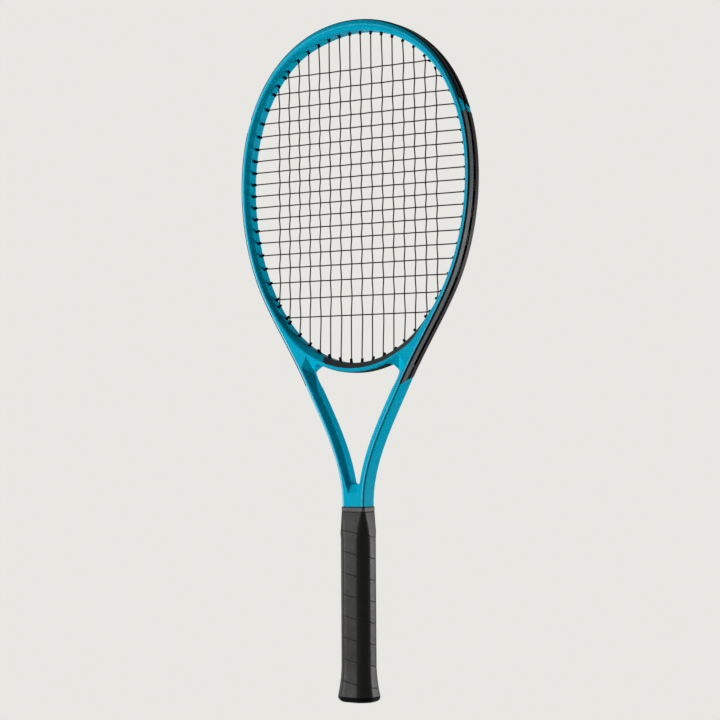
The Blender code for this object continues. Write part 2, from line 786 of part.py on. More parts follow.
def knot(hole, towards):
    """The tied end of a string: its stub in the hole, then the knot just inside the hoop."""
    way = (towards - hole.mouth).normalized()
    places = [(hole.sunk(CHANNEL_DEPTH), STRING_RADIUS), (hole.mouth, STRING_RADIUS)]
    steps = ((0.5, STRING_RADIUS), (0.75, KNOT_RADIUS), (2.0, KNOT_RADIUS), (2.25, STRING_RADIUS))
    for reach, radius in steps:
        places.append((hole.mouth + way * reach * STRING_RADIUS, radius))
    return places


def build_string(name, runs, y):
    """One string through all its runs, each given as its first and its last hole."""
    places = knot(runs[0][0], runs[0][1].mouth)
    for (_, last), (after, _) in zip(runs, runs[1:]):
        loop = loop_between(last, after)
        places += [(point, STRING_RADIUS) for point in [last.mouth] + loop + [after.mouth]]
    places += reversed(knot(runs[-1][1], runs[-1][0].mouth))
    points = [(point.x, y, point.y) for point, _ in places]
    part(name, tube(name, points, [radius for _, radius in places]), BLACK, 0.35)


def build_strings():
    for name, pairs, y in (("main_string", MAINS, MAIN_Y), ("cross_string", CROSSES, CROSS_Y)):
        runs = [pair[::-1] if index % 2 == 0 else pair for index, pair in enumerate(pairs)]
        build_string(name, runs, y)


# Handle
def handle_outline(z, offset=0.0):
    """The handle's eight-sided outline under the grip at a height."""
    flare = FLARE * max(1 - z / FLARE_HEIGHT, 0.0) ** 2
    taper = max(1 - (HANDLE_TOP_Z - z) / HANDLE_TAPER, 0.0)
    width = HANDLE_WIDTH + flare - (HANDLE_WIDTH - HANDLE_TOP_WIDTH) * taper
    depth = HANDLE_DEPTH + flare - (HANDLE_DEPTH - HANDLE_TOP_DEPTH) * taper
    return octagon(width, depth, HANDLE_BEVEL * depth / HANDLE_DEPTH, offset)


def pallet_ring(outline, z, side):
    """Half of the handle's outline round half of the frame's core."""
    core = octagon(CORE_WIDTH, CORE_DEPTH, CORE_EDGE, CLEARANCE)
    split = side * CLEARANCE / 2

    def half(points):
        return sorted((p for p in points if p[1] * side > 0), key=lambda p: math.atan2(side * p[1], p[0]))

    outer, inner = half(outline), half(core)
    ring = [(outer[0][0], split)] + outer + [(outer[-1][0], split)]
    ring += [(inner[-1][0], split)] + inner[::-1] + [(inner[0][0], split)]
    return level(ring, z)


def build_pallets(staples):
    inside_cap = handle_outline(CAP_HEIGHT, -CAP_WALL - CLEARANCE)
    above_cap = CAP_HEIGHT + CLEARANCE
    shoulder = above_cap + CLEARANCE
    taper_start = HANDLE_TOP_Z - HANDLE_TAPER
    top = HANDLE_TOP_Z - CLEARANCE
    for name, side in (("handle_pallet_front", -1), ("handle_pallet_back", 1)):
        rings = [pallet_ring(inside_cap, z, side) for z in (CAP_FLOOR + CLEARANCE, above_cap)]
        rings += [pallet_ring(handle_outline(z), z, side) for z in (shoulder, FLARE_HEIGHT, taper_start, top)]
        pallet = part(name, loft(name, rings), FOAM, 0.8)
        for staple in staples:
            boolean(pallet, staple, "DIFFERENCE")


def build_plugs():
    bottom = CORE_BOTTOM_Z + CLEARANCE
    for name, side in (("foam_plug_left", -1), ("foam_plug_right", 1)):
        rings = [leg_ring(z, side, CLEARANCE) for z in (bottom, bottom + PLUG_LENGTH)]
        part(name, loft(name, rings), FOAM, 0.9)


def door_rings(offset, bottom, top):
    plate = rectangle(DOOR_WIDTH + 2 * DOOR_LIP, DOOR_DEPTH + 2 * DOOR_LIP, offset)
    plug = rectangle(DOOR_WIDTH, DOOR_DEPTH, offset)
    shoulder = CLEARANCE + DOOR_PLATE + offset
    return [level(plate, bottom), level(plate, shoulder), level(plug, shoulder), level(plug, top)]


def build_butt_cap(staples):
    rim_z = RIM_HEIGHT
    grip_out = CLEARANCE + GRIP_THICKNESS
    inside = handle_outline(CAP_HEIGHT, -CAP_WALL)
    rings = [
        level(handle_outline(rim_z, grip_out - RIM_ROUND), 0.0),
        level(handle_outline(rim_z, grip_out - RIM_ROUND / 4), RIM_ROUND / 3),
        level(handle_outline(rim_z, grip_out), RIM_ROUND),
        level(handle_outline(rim_z, grip_out), rim_z),
    ]
    rings += [level(handle_outline(z), z) for z in span(rim_z, CAP_HEIGHT, FLARE_STEPS)]
    rings += [level(inside, CAP_HEIGHT), level(inside, CAP_FLOOR)]
    cap = part("butt_cap", loft("butt_cap", rings), BLACK, 0.5)
    opening = loft("door opening", door_rings(CLEARANCE, -CAP_FLOOR, 2 * CAP_FLOOR))
    boolean(cap, cutter("door opening", opening), "DIFFERENCE")
    for staple in staples:
        boolean(cap, staple, "DIFFERENCE")
    part("butt_cap_door", loft("butt_cap_door", door_rings(0.0, CLEARANCE, DOOR_PLUG_HEIGHT)), BLACK, 0.4)


def build_staples():
    """The two staples, and the slots that they leave in what they hold."""
    slots = []
    surface = handle_outline(STAPLE_Z)[0][0]
    crown = surface - STAPLE_WIRE - CLEARANCE
    tip = CORE_WIDTH / 2 + STAPLE_STOP
    half, room = STAPLE_SPREAD / 2, STAPLE_WIRE + CLEARANCE
    for name, side in (("butt_cap_staple_left", -1), ("butt_cap_staple_right", 1)):
        points = [(side * x, y, STAPLE_Z) for x, y in ((tip, -half), (crown, -half), (crown, half), (tip, half))]
        part(name, tube(name, points, [STAPLE_WIRE] * len(points)), STEEL, 0.3, 1.0)
        outline = [
            (surface + FLARE, -half - room), (surface + FLARE, half + room), (tip - room, half + room),
            (tip - room, half - room), (crown - room, half - room), (crown - room, -half + room),
            (tip - room, -half + room), (tip - room, -half - room),
        ]
        outline = [(side * x, y) for x, y in outline]
        slot = loft(name + " slot", [level(outline, STAPLE_Z - room), level(outline, STAPLE_Z + room)])
        slots.append(cutter(name + " slot", slot))
    return slots


# Grip and collar
def grip_climb(corner):
    """How many turns the grip has made when it has passed a number of the handle's corners."""
    outline = handle_outline(HANDLE_TOP_Z / 2)
    passed = [outline[(GRIP_START - count) % 8] for count in range(9)]
    sides = [math.dist(near, far) for near, far in zip(passed, passed[1:])]
    turns, rest = divmod(corner, 8)
    return turns + sum(sides[:rest]) / sum(sides)


def grip_edges():
    """The lower and upper edge of the grip strip at each corner of the handle that it passes."""
    bottom, top = RIM_HEIGHT + CLEARANCE, HANDLE_TOP_Z
    least = GRIP_PITCH / 8
    edges = []
    corner = 0
    while True:
        low = bottom + GRIP_PITCH * (grip_climb(corner) - 1)
        high = low + GRIP_PITCH - GRIP_SEAM
        if low > top - least:
            return edges
        if high > bottom + least:
            edges.append((corner, max(low, bottom), min(high, top)))
        corner += 1


def grip_point(corner, z, offset):
    x, y = handle_outline(z, offset)[(GRIP_START - corner) % 8]
    return (x, y, z)


def seam_gap(edges):
    """The least gap between the grip's turns, measured on points along the facing edges."""
    least = GRIP_PITCH
    lower = {corner: Vector(grip_point(corner, low, CLEARANCE)) for corner, low, _ in edges}
    for corner, _, high in edges:
        above = [lower[near] for near in range(corner + 7, corner + 10) if near in lower]
        point = Vector(grip_point(corner, high, CLEARANCE))
        for start, end in zip(above, above[1:]):
            for share in span(0.0, 1.0, 20):
                least = min(least, (start.lerp(end, share) - point).length)
    return least


def build_grip():
    edges = grip_edges()
    rings = []
    for corner, low, high in edges:
        heights = span(low, high, 2)
        ring = [grip_point(corner, z, CLEARANCE) for z in heights]
        ring += [grip_point(corner, z, CLEARANCE + GRIP_THICKNESS) for z in reversed(heights)]
        rings.append(ring)
    part("grip_wrap", loft("grip_wrap", rings), BLACK, 0.55)
    print(f"grip_wrap: least gap between turns {seam_gap(edges) * 1000:.2f} mm")


def build_collar():
    inner = octagon(SHAFT_WIDTH, FRAME_THICKNESS, OUTER_EDGE, COLLAR_CLEARANCE)
    outer = octagon(SHAFT_WIDTH, FRAME_THICKNESS, OUTER_EDGE, COLLAR_CLEARANCE + COLLAR_WALL)
    rings = [level(inner, 0.0), level(outer, 0.0), level(outer, COLLAR_HEIGHT), level(inner, COLLAR_HEIGHT)]
    bottom = (0.0, 0.0, SHAFT_BOTTOM_Z + CLEARANCE)
    part("grip_collar", loft("grip_collar", rings, wrap=True), CHARCOAL, 0.7, origin=bottom)


clear_scene()
PIECES = collection("tennis racket")
CUTTERS = collection("cutters")
build_frame()
build_strips()
build_strings()
STAPLE_SLOTS = build_staples()
build_pallets(STAPLE_SLOTS)
build_plugs()
build_butt_cap(STAPLE_SLOTS)
build_grip()
build_collar()
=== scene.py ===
"""A strung tennis racket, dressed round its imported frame.

Metres. +Z runs up the handle to the tip, X lies across the string bed, and -Y is the front face.
"""

import bisect
import math

import bmesh
import bpy
from mathutils import Matrix, Vector


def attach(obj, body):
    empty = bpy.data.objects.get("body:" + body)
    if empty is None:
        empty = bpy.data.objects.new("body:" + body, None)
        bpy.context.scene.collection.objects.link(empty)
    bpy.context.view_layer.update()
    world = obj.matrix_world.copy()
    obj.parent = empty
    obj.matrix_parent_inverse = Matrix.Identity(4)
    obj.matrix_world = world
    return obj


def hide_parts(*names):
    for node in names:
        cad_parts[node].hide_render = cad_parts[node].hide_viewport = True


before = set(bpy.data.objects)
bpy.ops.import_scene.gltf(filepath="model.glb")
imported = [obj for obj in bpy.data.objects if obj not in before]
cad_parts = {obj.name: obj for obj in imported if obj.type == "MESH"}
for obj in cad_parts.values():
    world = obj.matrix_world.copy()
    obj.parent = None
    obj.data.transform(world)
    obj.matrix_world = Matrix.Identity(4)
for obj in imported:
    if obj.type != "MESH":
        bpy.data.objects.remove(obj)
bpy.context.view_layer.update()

# Overall sizes
RACKET_LENGTH = 0.6838
HEAD_LENGTH = 0.3346  # inside the hoop, along the racket
HEAD_WIDTH = 0.2566
HEAD_EGG = 0.078  # how much the tip half is wider than the throat half
HEAD_FULLNESS = 0.064  # how much both ends are fuller than an ellipse

# Frame tube
FRAME_THICKNESS = 0.0205
HOOP_WIDTH = 0.0073
TIP_WIDTH = 0.0100
ARM_WIDTH = 0.0092
ARM_TOP_WIDTH = 0.0110  # the arms widen towards the cut corners
ARM_TOP_FADE = 0.0180
BRIDGE_WIDTH = 0.0091
SHAFT_WIDTH = 0.0258
OUTER_EDGE = 0.0013
TIP_EDGE = 0.0022  # the outer edge is rounder along the bumper guard
TIP_EDGE_REACH = 0.0040  # how far it reaches across the face at the tip
OUTER_ROUND = 0.36  # rounding of the outer edge, as a share of it
HOOP_EDGE = 0.0029  # chamfer round the inside of the hoop, across the face
HOOP_EDGE_DEPTH = 0.0049
BRIDGE_EDGE = 0.0052  # the chamfer's reach along the bridge
TIP_HOOP_EDGE = 0.0014  # the chamfer's reach and depth at the tip
THROAT_EDGE_DEPTH = 0.0046
CORNER_DEPTH = 0.0086  # the arms' chamfer is deeper at the cut corners
CORNER_FADE = 0.0180
BRIDGE_LIP = 0.0012
EDGE_ROUND = 0.0006  # rounding of the creases
HOOP_ROUND = 0.0011  # the same round the inside of the hoop
ARM_ROUND = 0.0036  # the same where the hoop meets the arms
FACE_RIM = 0.0002  # strip of face beside each crease
FACE_CROWN = 0.0005  # the face falls away beside its outer edge
CROWN_SLOPE = 0.28
HOOP_FLAT = 0.0012  # half width of the flat along the middle of the hoop's inner wall
THROAT_FLAT = 0.0016  # the same round the throat
TIP_RAMP = (0.88, 0.98)  # sines of the angles between which the chamfer shrinks to the tip's
BRIDGE_RAMP = (0.68, 0.92)  # the same below the middle, where it widens to the bridge's
ARM_RAMP = (0.64, 0.82)  # the same where its rounding broadens at the arms
ARM_RAMP_END = (0.84, 0.92)  # the same where its rounding narrows again
BAND_LEFT = (-0.0319, -0.0396)  # ends of the charcoal on the bridge's chamfer, at the face and at the wall
BAND_RIGHT = (0.0700, 0.1100)
BAND_BLUR = 0.0004

# Run of the two throat arms, measured on their outside
HOOP_END_ANGLE = math.radians(-35.0)
ARM_MIDDLE_X = 0.0570
ARM_MIDDLE_DROP = 0.0215
ARM_LEAN = math.radians(26.85)
SHAFT_TOP_Z = 0.1967
SHOULDER = 0.0008
CORNER_RADIUS = 0.0062
CORNER_SOFT = 0.0036  # how far the ends of the cut corner are rounded
CORNER_LEAD = 0.25  # share of the facet's edge that lies before the cut corner
FACET_X = 0.0555  # where the creases of a cut corner meet on the face
ARM_FACE_START_Z = 0.3340
CROTCH_RISE = 0.0197
CROTCH_DROP = 0.0090
CROTCH_SOFT = 0.0026
ARM_FACE_TOP = 0.0044  # outer edge and face of an arm, at its top
ARM_FACE_LOW = 0.0040  # the same near the crotch
ARM_FACE_END_Z = 0.2400  # below this the chamfer runs straight to the crotch

# Strings and their holes
STRING_RADIUS = 0.00065
STRING_GAP = 0.0004
MAIN_PAIRS = 8
MAIN_SPACING = 0.01255
CROSS_COUNT = 19
FIRST_CROSS_DROP = 0.0381
CROSS_SPACING = 0.0121
TIP_SPREAD = 0.0043
THROAT_SPREAD = 0.0072
BRIDGE_REACH = 0.048
BRIDGE_LEAN = 12.0
KNOT_FORM = ((1.5, 1.0), (2.0, 1.45), (2.8, 1.7), (3.6, 1.45), (4.1, 1.0))  # reaches and swells, in radii

# Grommet strips
CLEARANCE = 0.0003
CHANNEL_DEPTH = 0.0030
CHANNEL_MOUTH = 0.0148
CHANNEL_FLOOR = 0.0128
BRIDGE_MOUTH = 0.0110
STRIP_BASE = 0.0010
STRIP_PROUD = 0.0006
BRIDGE_STRIP_PROUD = 0.0009
BUMPER_PROUD = 0.0013
STRIP_CROWN = 0.0009  # width of the rounding along a land's outer side
BUMPER_CROWN = 0.0024
GROOVE_WIDTH = 0.0038
SLOT_DEPTH = 0.0022  # string slot in the bare wall between guard and strip
SLOT_WIDTH = 0.0040
SLOT_FLOOR = 0.85 * SLOT_WIDTH
BARREL_STAND = 0.0012
BARREL_SHOWN = 0.0043  # length of a barrel beyond the inner wall
TIP_BARREL_SHOWN = 0.0034  # the same under the bumper guard
BARREL_ROOT_RADIUS = 0.00165
BARREL_TIP_RADIUS = 0.00135
BORE_RADIUS = 0.00078
BARREL_MOUTH = 0.0003  # how far a barrel's bore is sunk at its tip
BARREL_ROUND = 0.0002
BARREL_BURIED = 0.0040  # length of a barrel inside the wall
BUMPER_CROSSES = 4
STRIP_FIRST_LEAD = 0.0014
STRIP_TAIL = 0.0224
STRIP_SLANT = -0.50  # the back of a strip's lower end stops sooner than its front
BUMPER_TAIL = 0.0035
BUMPER_OVERHANG = 0.0080  # how far the guard reaches past its channel
BUMPER_SLANT = 0.56  # the back of the guard's ends reaches further than its front
SLANT_LENGTH = 0.030
GROOVE_TAIL = 0.0040
CHANNEL_RAMP = 0.0015
BRIDGE_STRIP_TAIL = 0.0030

# Sections of the strips: insets into the frame, and half widths
LAND_CROWN = ((0.6, 0.2), (0.9, 1.0))  # shares of a land's height and of its rounding
GROOVE_LIP = 0.0005
GROOVE_LIP_DROP = 0.0004
GROOVE_DRAFT = 0.86  # width of the groove's floor, as a share of its mouth
STRIP_SEAT = 0.8 * CHANNEL_DEPTH  # depth of a strip's underside
SEAT_GAP = 0.0006
SEAT_MIDDLE = 0.8  # half width of the underside's middle, as a share of the groove's
STRIP_SKIRT = 0.0005  # depth at which the underside leaves the channel
SKIRT_GAP = 0.0004
SIDE_BORDER = ((0.0010, 0.0002), (0.0002, 0.0006), (-0.4 * STRIP_PROUD, 0.0012))  # from the face
BUMPER_BORDER = ((0.0003, 0.0003), (0.0, 0.0001), (-0.3 * BUMPER_PROUD, 0.0))  # from the outer edge
BRIDGE_BORDER = (  # from the mouth
    (0.0014, 0.0004), (-0.0004, 0.0), (0.0006 - BRIDGE_STRIP_PROUD, 0.0), (-BRIDGE_STRIP_PROUD, 0.0008),
)
BRIDGE_GROOVE = ((0.0, 0.0004), (0.0004, 0.0))  # drops and distances from the groove
BRIDGE_GROOVE_FLOOR = 0.0008
BRIDGE_GROOVE_DRAFT = 0.9
FRONT_LAND = range(2, 6)  # places of the two lands on a section
BACK_LAND = range(11, 15)

# Handle
HANDLE_TOP_Z = 0.1890
HANDLE_WIDTH = 0.0308
HANDLE_DEPTH = 0.0248
HANDLE_BEVEL = 0.0068
HANDLE_TOP_WIDTH = 0.0276
HANDLE_TOP_DEPTH = 0.0222
HANDLE_TAPER = 0.0400
FLARE_HEIGHT = 0.0380
FLARE = 0.0092
CORE_WIDTH = 0.0215
CORE_DEPTH = 0.0155
CORE_EDGE = 0.0020
CORE_BOTTOM_Z = 0.0100

# Butt cap and door
CAP_HEIGHT = 0.0300
CAP_WALL = 0.0013
CAP_FLOOR = 0.0036
RIM_HEIGHT = 0.0052
RIM_ROUND = 0.0048
DOOR_WIDTH = 0.0180
DOOR_DEPTH = 0.0110
DOOR_LIP = 0.0018
DOOR_PLATE = 0.0015
DOOR_PLUG_HEIGHT = 0.0046
DOOR_CORNER = 0.0012
DOOR_RIM = ((0.0010, 0.0003), (0.0008, 0.0), (0.0003, 0.0), (0.0, 0.0003))  # insets and rises
DOOR_PLUG_EDGE = 0.0004

# Grip and collar
GRIP_THICKNESS = 0.0017
GRIP_PITCH = 0.0214
GRIP_SEAM = 0.0001
GRIP_TOP_WIDTH = 0.0281
GRIP_TOP_DEPTH = 0.0228
GRIP_TOP_BEVEL = 0.0024  # the corners' flats narrow towards the shaft
TOP_BEVEL_LENGTH = 0.0260
GRIP_TAPER = 0.0220
GRIP_START = 4
GRIP_EDGE = 0.0014  # rounded edge of the grip strip
GRIP_EDGE_DEPTH = 0.00022
GRIP_EDGE_ROWS = (0.0, 0.12, 0.3, 0.55, 1.0)  # rows of points across that edge
GRIP_EDGE_MOST = 0.4  # its most, as a share of the strip's width
GRIP_CORNER = 0.0088  # rounding of the handle's corners under the grip
GRIP_TOP_LEAST = 0.0060  # the winding ends where less than this is left below the collar
COLLAR_HEIGHT = 0.0049
COLLAR_WALL = 0.0005
COLLAR_CLEARANCE = 0.0004
COLLAR_ROUND = 0.0003
COLLAR_NIP = 0.3 * COLLAR_ROUND  # how far that rounding is cut in its middle
COLLAR_SHADE_LINE = 0.0007  # black band round the collar's top, a painted shadow line where the collar meets the teal shaft

# Photograph's camera: the lens, and where it stands
LENS = 97.13
SENSOR = 36.0
CAMERA_PLACE = (1.0563, -1.6392, 0.27456)
CAMERA_AZIMUTH = math.radians(32.717)
CAMERA_PITCH = math.radians(1.945)
CAMERA_ROLL = math.radians(-0.338)

# Studio
BACKGROUND = (0.807, 0.799, 0.768)
FLOOR_DROP = 0.16
FLOOR_RADIUS = 6.0
FILL_COLOUR = (0.80, 0.81, 0.82)
FILL_STRENGTH = 0.115
LAMP_TARGET_Z = 0.36

# Fineness of the meshes
FINE = 160
FACE_STEP = 0.0026  # length of a face along the frame
HOOP_STEPS = 190
BRIDGE_STEPS = 34
CORNER_STEPS = 10
ARM_STEPS = 44
CROTCH_STEPS = 4
EDGE_POINTS = 9  # points across the hoop's inner chamfer
POLISHED = 5  # points across the polished outer edge of the face
WEAVE_STEPS = 6
TUBE_SIDES = 10
BARREL_SIDES = 14
RIM_STEPS = 6
CAP_STEPS = 8
QUARTERS = (0.25, 0.5, 0.75)
CORNER_ROOM = 0.45  # the most of a side that one corner's rounding may take
STRAIGHT = math.pi / 2 - 1e-4  # a corner whose half angle is larger is left as it is
ANGLE_STEP = 0.02  # steps that give the way of a line
DISTANCE_STEP = 0.002
NEAR = 0.00001
MERGE = 0.000001
CREASE = math.radians(38.0)
FRAME_CREASE = math.radians(22.0)

# Sizes that follow from the ones above
TIP_Z = RACKET_LENGTH - BUMPER_PROUD - TIP_WIDTH
HEAD_MIDDLE_Z = TIP_Z - HEAD_LENGTH / 2
THROAT_Z = TIP_Z - HEAD_LENGTH
MAIN_Y = -(STRING_RADIUS + STRING_GAP / 2)
CROSS_Y = -MAIN_Y
MOUTH = BARREL_STAND + STRING_RADIUS
GROOVE_FLOOR = CHANNEL_DEPTH - CLEARANCE - STRIP_BASE
STRING_INSET = GROOVE_FLOOR - CLEARANCE - STRING_RADIUS
BEND = 0.75 * STRING_RADIUS
SHAFT_BOTTOM_Z = HANDLE_TOP_Z + SHOULDER
CROTCH_Z = SHAFT_TOP_Z + CROTCH_RISE
HALF = FRAME_THICKNESS / 2
GRIP_START_LEAST = GRIP_PITCH / 12  # the winding starts where this much stands above the cap
CAP_CORNER = GRIP_CORNER + 0.0010
COLLAR_CORNER = 0.8 * OUTER_EDGE


class Path:
    """A smooth line in the X-Z plane, measured from where it crosses the middle of the racket.

    Negative distances give its mirror image. side is 1 where the air is on the left of the line
    and -1 where it is on the right.
    """

    def __init__(self, points, side):
        self.points = points
        self.side = side
        self.distances = [0.0]
        for near, far in zip(points, points[1:]):
            self.distances.append(self.distances[-1] + (far - near).length)
        self.length = self.distances[-1]

    def point(self, distance):
        distance = min(max(distance, 0.0), self.length)
        index = min(bisect.bisect_right(self.distances, distance), len(self.points) - 1)
        near, far = self.distances[index - 1], self.distances[index]
        return self.points[index - 1].lerp(self.points[index], (distance - near) / (far - near))

    def way_out(self, distance):
        reach = self.length / (2 * FINE)
        along = self.point(distance + reach) - self.point(distance - reach)
        if distance <= 0.0 or (distance >= self.length and abs(self.points[-1].x) < 1e-9):
            along.y = 0.0
        along.normalize()
        return Vector((-along.y, along.x)) * self.side

    def place(self, distance, inset=0.0):
        """The point at a distance, sunk into the material by inset, and the way out of the material."""
        point, out = self.point(abs(distance)), self.way_out(abs(distance))
        if distance < 0.0:
            point, out = mirrored(point), mirrored(out)
        return point - out * inset, out

    def hit(self, start, direction):
        """The distance at which a ray from start crosses the line, for a start on the side of +X."""
        across = Vector((-direction.y, direction.x))
        for index, (near, far) in enumerate(zip(self.points, self.points[1:])):
            before, after = (near - start).dot(across), (far - start).dot(across)
            if before * after <= 0.0 and before != after and (near - start).dot(direction) > 0.0:
                share = before / (before - after)
                return self.distances[index] + share * (far - near).length
        raise ValueError("a string hole misses the outside of the frame")


def mirrored(point):
    return Vector((-point.x, point.y))


def solve(function, low, high):
    """Where a function that is negative at low and positive at high crosses zero."""
    for _ in range(60):
        middle = (low + high) / 2
        if function(middle) < 0.0:
            low = middle
        else:
            high = middle
    return (low + high) / 2


def span(low, high, steps):
    return [low + (high - low) * step / steps for step in range(steps + 1)]


def even_span(low, high, step):
    return span(low, high, max(1, round((high - low) / step)))


def ease(value, low=0.0, high=1.0):
    """A smooth rise from 0 at low to 1 at high."""
    share = min(max((value - low) / (high - low), 0.0), 1.0)
    return share * share * (3 - 2 * share)


def mix(low, high, share):
    return low + (high - low) * share


def corner_curve(start, corner, end, steps):
    """Points of a curve from start to end that bends towards a corner."""
    points = []
    for share in span(0.0, 1.0, steps):
        rest = 1 - share
        points.append(start * rest * rest + corner * 2 * rest * share + end * share * share)
    return points


def corner_cuts(before, corner, after, radius):
    """How far a corner's rounding reaches along its two sides, as ways from the corner."""
    way_in, way_on = before - corner, after - corner
    room = min(way_in.length, way_on.length) * CORNER_ROOM
    way_in.normalize()
    way_on.normalize()
    half_turn = way_in.angle(way_on) / 2
    cut = min(radius / math.tan(half_turn), room) if half_turn < STRAIGHT else 0.0
    return way_in * cut, way_on * cut


def rounded(points, radii, steps=3):
    """A flat line of points whose inner corners are rounded."""
    points = [Vector(point) for point in points]
    line = points[:1]
    for before, corner, after, radius in zip(points, points[1:], points[2:], radii):
        back, on = corner_cuts(before, corner, after, radius)
        line += corner_curve(corner + back, corner, corner + on, steps)
    return line + points[-1:]


# The inside of the hoop
def oval(angle):
    """A point on the right half of the inside of the hoop, from the throat (-90 degrees) to the tip."""
    rise = math.sin(angle)
    half_width = HEAD_WIDTH / 2 * (1 + HEAD_EGG * rise + HEAD_FULLNESS * rise * rise)
    return Vector((half_width * math.cos(angle), HEAD_MIDDLE_Z + HEAD_LENGTH / 2 * rise))


def oval_out(angle):
    """The way from the string bed into the frame."""
    step = 1e-5
    along = oval(angle + step) - oval(angle - step)
    return Vector((along.y, -along.x)).normalized()


def oval_offset(angle, offset):
    return oval(angle) + oval_out(angle) * offset


def hoop_width(angle):
    rise = max(math.sin(angle), 0.0)
    return HOOP_WIDTH + (TIP_WIDTH - HOOP_WIDTH) * rise * rise


def curve_between(start, start_way, end, end_way):
    """A smooth curve that leaves start and reaches end in the given directions."""
    reach = (end - start).length / 3
    first, last = start + start_way * reach, end - end_way * reach
    points = []
    for share in span(0.0, 1.0, FINE):
        rest = 1.0 - share
        points.append(
            start * rest**3 + first * 3 * rest**2 * share + last * 3 * rest * share**2 + end * share**3
        )
    return points


# The outside of the frame, from the tip down one side to the shaft
def outer_points():
    angles = span(math.pi / 2, HOOP_END_ANGLE, 4 * FINE)
    hoop = [oval_offset(angle, hoop_width(angle)) for angle in angles]
    hoop[0].x = 0.0
    leave = (hoop[-1] - hoop[-2]).normalized()
    middle = Vector((ARM_MIDDLE_X, THROAT_Z - ARM_MIDDLE_DROP))
    lean = Vector((-math.sin(ARM_LEAN), -math.cos(ARM_LEAN)))
    upper_arm = curve_between(hoop[-1], leave, middle, lean)
    down = Vector((0.0, -1.0))
    shaft_top = Vector((SHAFT_WIDTH / 2, SHAFT_TOP_Z))
    lower_arm = curve_between(middle, lean, shaft_top, down)
    shaft = [shaft_top.lerp(Vector((SHAFT_WIDTH / 2, SHAFT_BOTTOM_Z)), share) for share in (0.5, 1.0)]
    return hoop, upper_arm[1:], lower_arm[1:], shaft


OUTER_PIECES = outer_points()
OUTER = Path([point for piece in OUTER_PIECES for point in piece], 1)


def distance_after(pieces):
    """The distance along the outside at the end of its first few pieces."""
    count = sum(len(piece) for piece in OUTER_PIECES[:pieces])
    return OUTER.distances[count - 1]


HOOP_END, ARM_END = distance_after(1), distance_after(3)


def corner_foot(point):
    """The angle on the inside of the hoop that is closest to a point below it."""

    def ahead(angle):
        out = oval_out(angle)
        return (oval(angle) - point).dot(Vector((-out.y, out.x)))

    return solve(ahead, -math.pi / 2, HOOP_END_ANGLE)


def corner_centre(distance):
    return OUTER.place(distance, ARM_TOP_WIDTH + CORNER_RADIUS)[0]


def below_bridge(distance):
    centre = corner_centre(distance)
    return (centre - oval(corner_foot(centre))).length - BRIDGE_WIDTH - CORNER_RADIUS


def bridge_edge(angle):
    return oval_offset(angle, BRIDGE_WIDTH - BRIDGE_LIP)


CORNER_DISTANCE = solve(below_bridge, HOOP_END, ARM_END)


def arm_wall(distance):
    """The inner wall of an arm, at a distance along the outside."""
    share = ease((distance - CORNER_DISTANCE) / ARM_TOP_FADE)
    return OUTER.place(distance, mix(ARM_TOP_WIDTH, ARM_WIDTH, share))[0]


TOP_ANGLE = corner_foot(corner_centre(CORNER_DISTANCE))
CROTCH_DISTANCE = solve(
    lambda distance: CROTCH_Z - arm_wall(distance).y, CORNER_DISTANCE, ARM_END
)
FACET_ANGLE = solve(lambda angle: bridge_edge(angle).x - FACET_X, TOP_ANGLE, HOOP_END_ANGLE)
ARM_FACE_START = solve(
    lambda distance: ARM_FACE_START_Z - OUTER.place(distance, ARM_FACE_TOP)[0].y, HOOP_END, ARM_END
)
ARM_FACE_END = solve(
    lambda distance: ARM_FACE_END_Z - arm_wall(distance).y, CORNER_DISTANCE, CROTCH_DISTANCE
)
BRIDGE_PATH = Path([oval_offset(angle, BRIDGE_WIDTH) for angle in span(-math.pi / 2, TOP_ANGLE, FINE)], -1)
BRIDGE_PATH.points[0].x = 0.0


# String holes
class Hole:
    """A string hole: the string's mouth inside the hoop, the hole's way out and where it ends."""

    def __init__(self, angle, mirror, by_bridge):
        inner, way = oval(angle), oval_out(angle)
        self.inner = inner
        self.mouth = inner - way * MOUTH
        self.path = BRIDGE_PATH if by_bridge else OUTER
        if by_bridge:
            way = Vector((-BRIDGE_LEAN * inner.x, -1.0)).normalized()
        self.exit = self.path.hit(self.mouth, way)
        if mirror:
            self.inner, self.mouth = mirrored(self.inner), mirrored(self.mouth)
            way, self.exit = mirrored(way), -self.exit
        self.way = way

    def sunk(self, inset):
        """The point on the hole's axis that lies inset below the outside of the frame."""
        outside, out = self.path.place(self.exit)
        return outside - self.way * (inset / self.way.dot(out))


def mouth_at(angle):
    return oval_offset(angle, -MOUTH)


def main_holes():
    """The holes of each main, from left to right: its throat end and its tip end."""
    widest = solve(lambda angle: mouth_at(angle - 1e-3).x - mouth_at(angle).x, -0.5, 0.8)
    pairs = []
    for index in range(-MAIN_PAIRS, MAIN_PAIRS):
        x = (index + 0.5) * MAIN_SPACING
        low = solve(lambda angle: mouth_at(angle).x - abs(x), -math.pi / 2, widest)
        high = solve(lambda angle: abs(x) - mouth_at(angle).x, widest, math.pi / 2)
        pairs.append((Hole(low, x < 0, abs(x) < BRIDGE_REACH), Hole(high, x < 0, False)))
    return pairs


def cross_heights():
    heights = [TIP_Z - FIRST_CROSS_DROP]
    gaps = CROSS_COUNT - 1
    for index in range(gaps):
        place = (2 * index + 1 - gaps) / (gaps - 1)
        spread = THROAT_SPREAD if place > 0 else TIP_SPREAD
        heights.append(heights[-1] - CROSS_SPACING - spread * abs(place) ** 3)
    return heights


def cross_holes():
    """The holes of each cross, from the tip down: its left end and its right end."""
    pairs = []
    for height in cross_heights():
        angle = solve(lambda angle: mouth_at(angle).y - height, -math.pi / 2, math.pi / 2)
        pairs.append((Hole(angle, True, False), Hole(angle, False, False)))
    return pairs


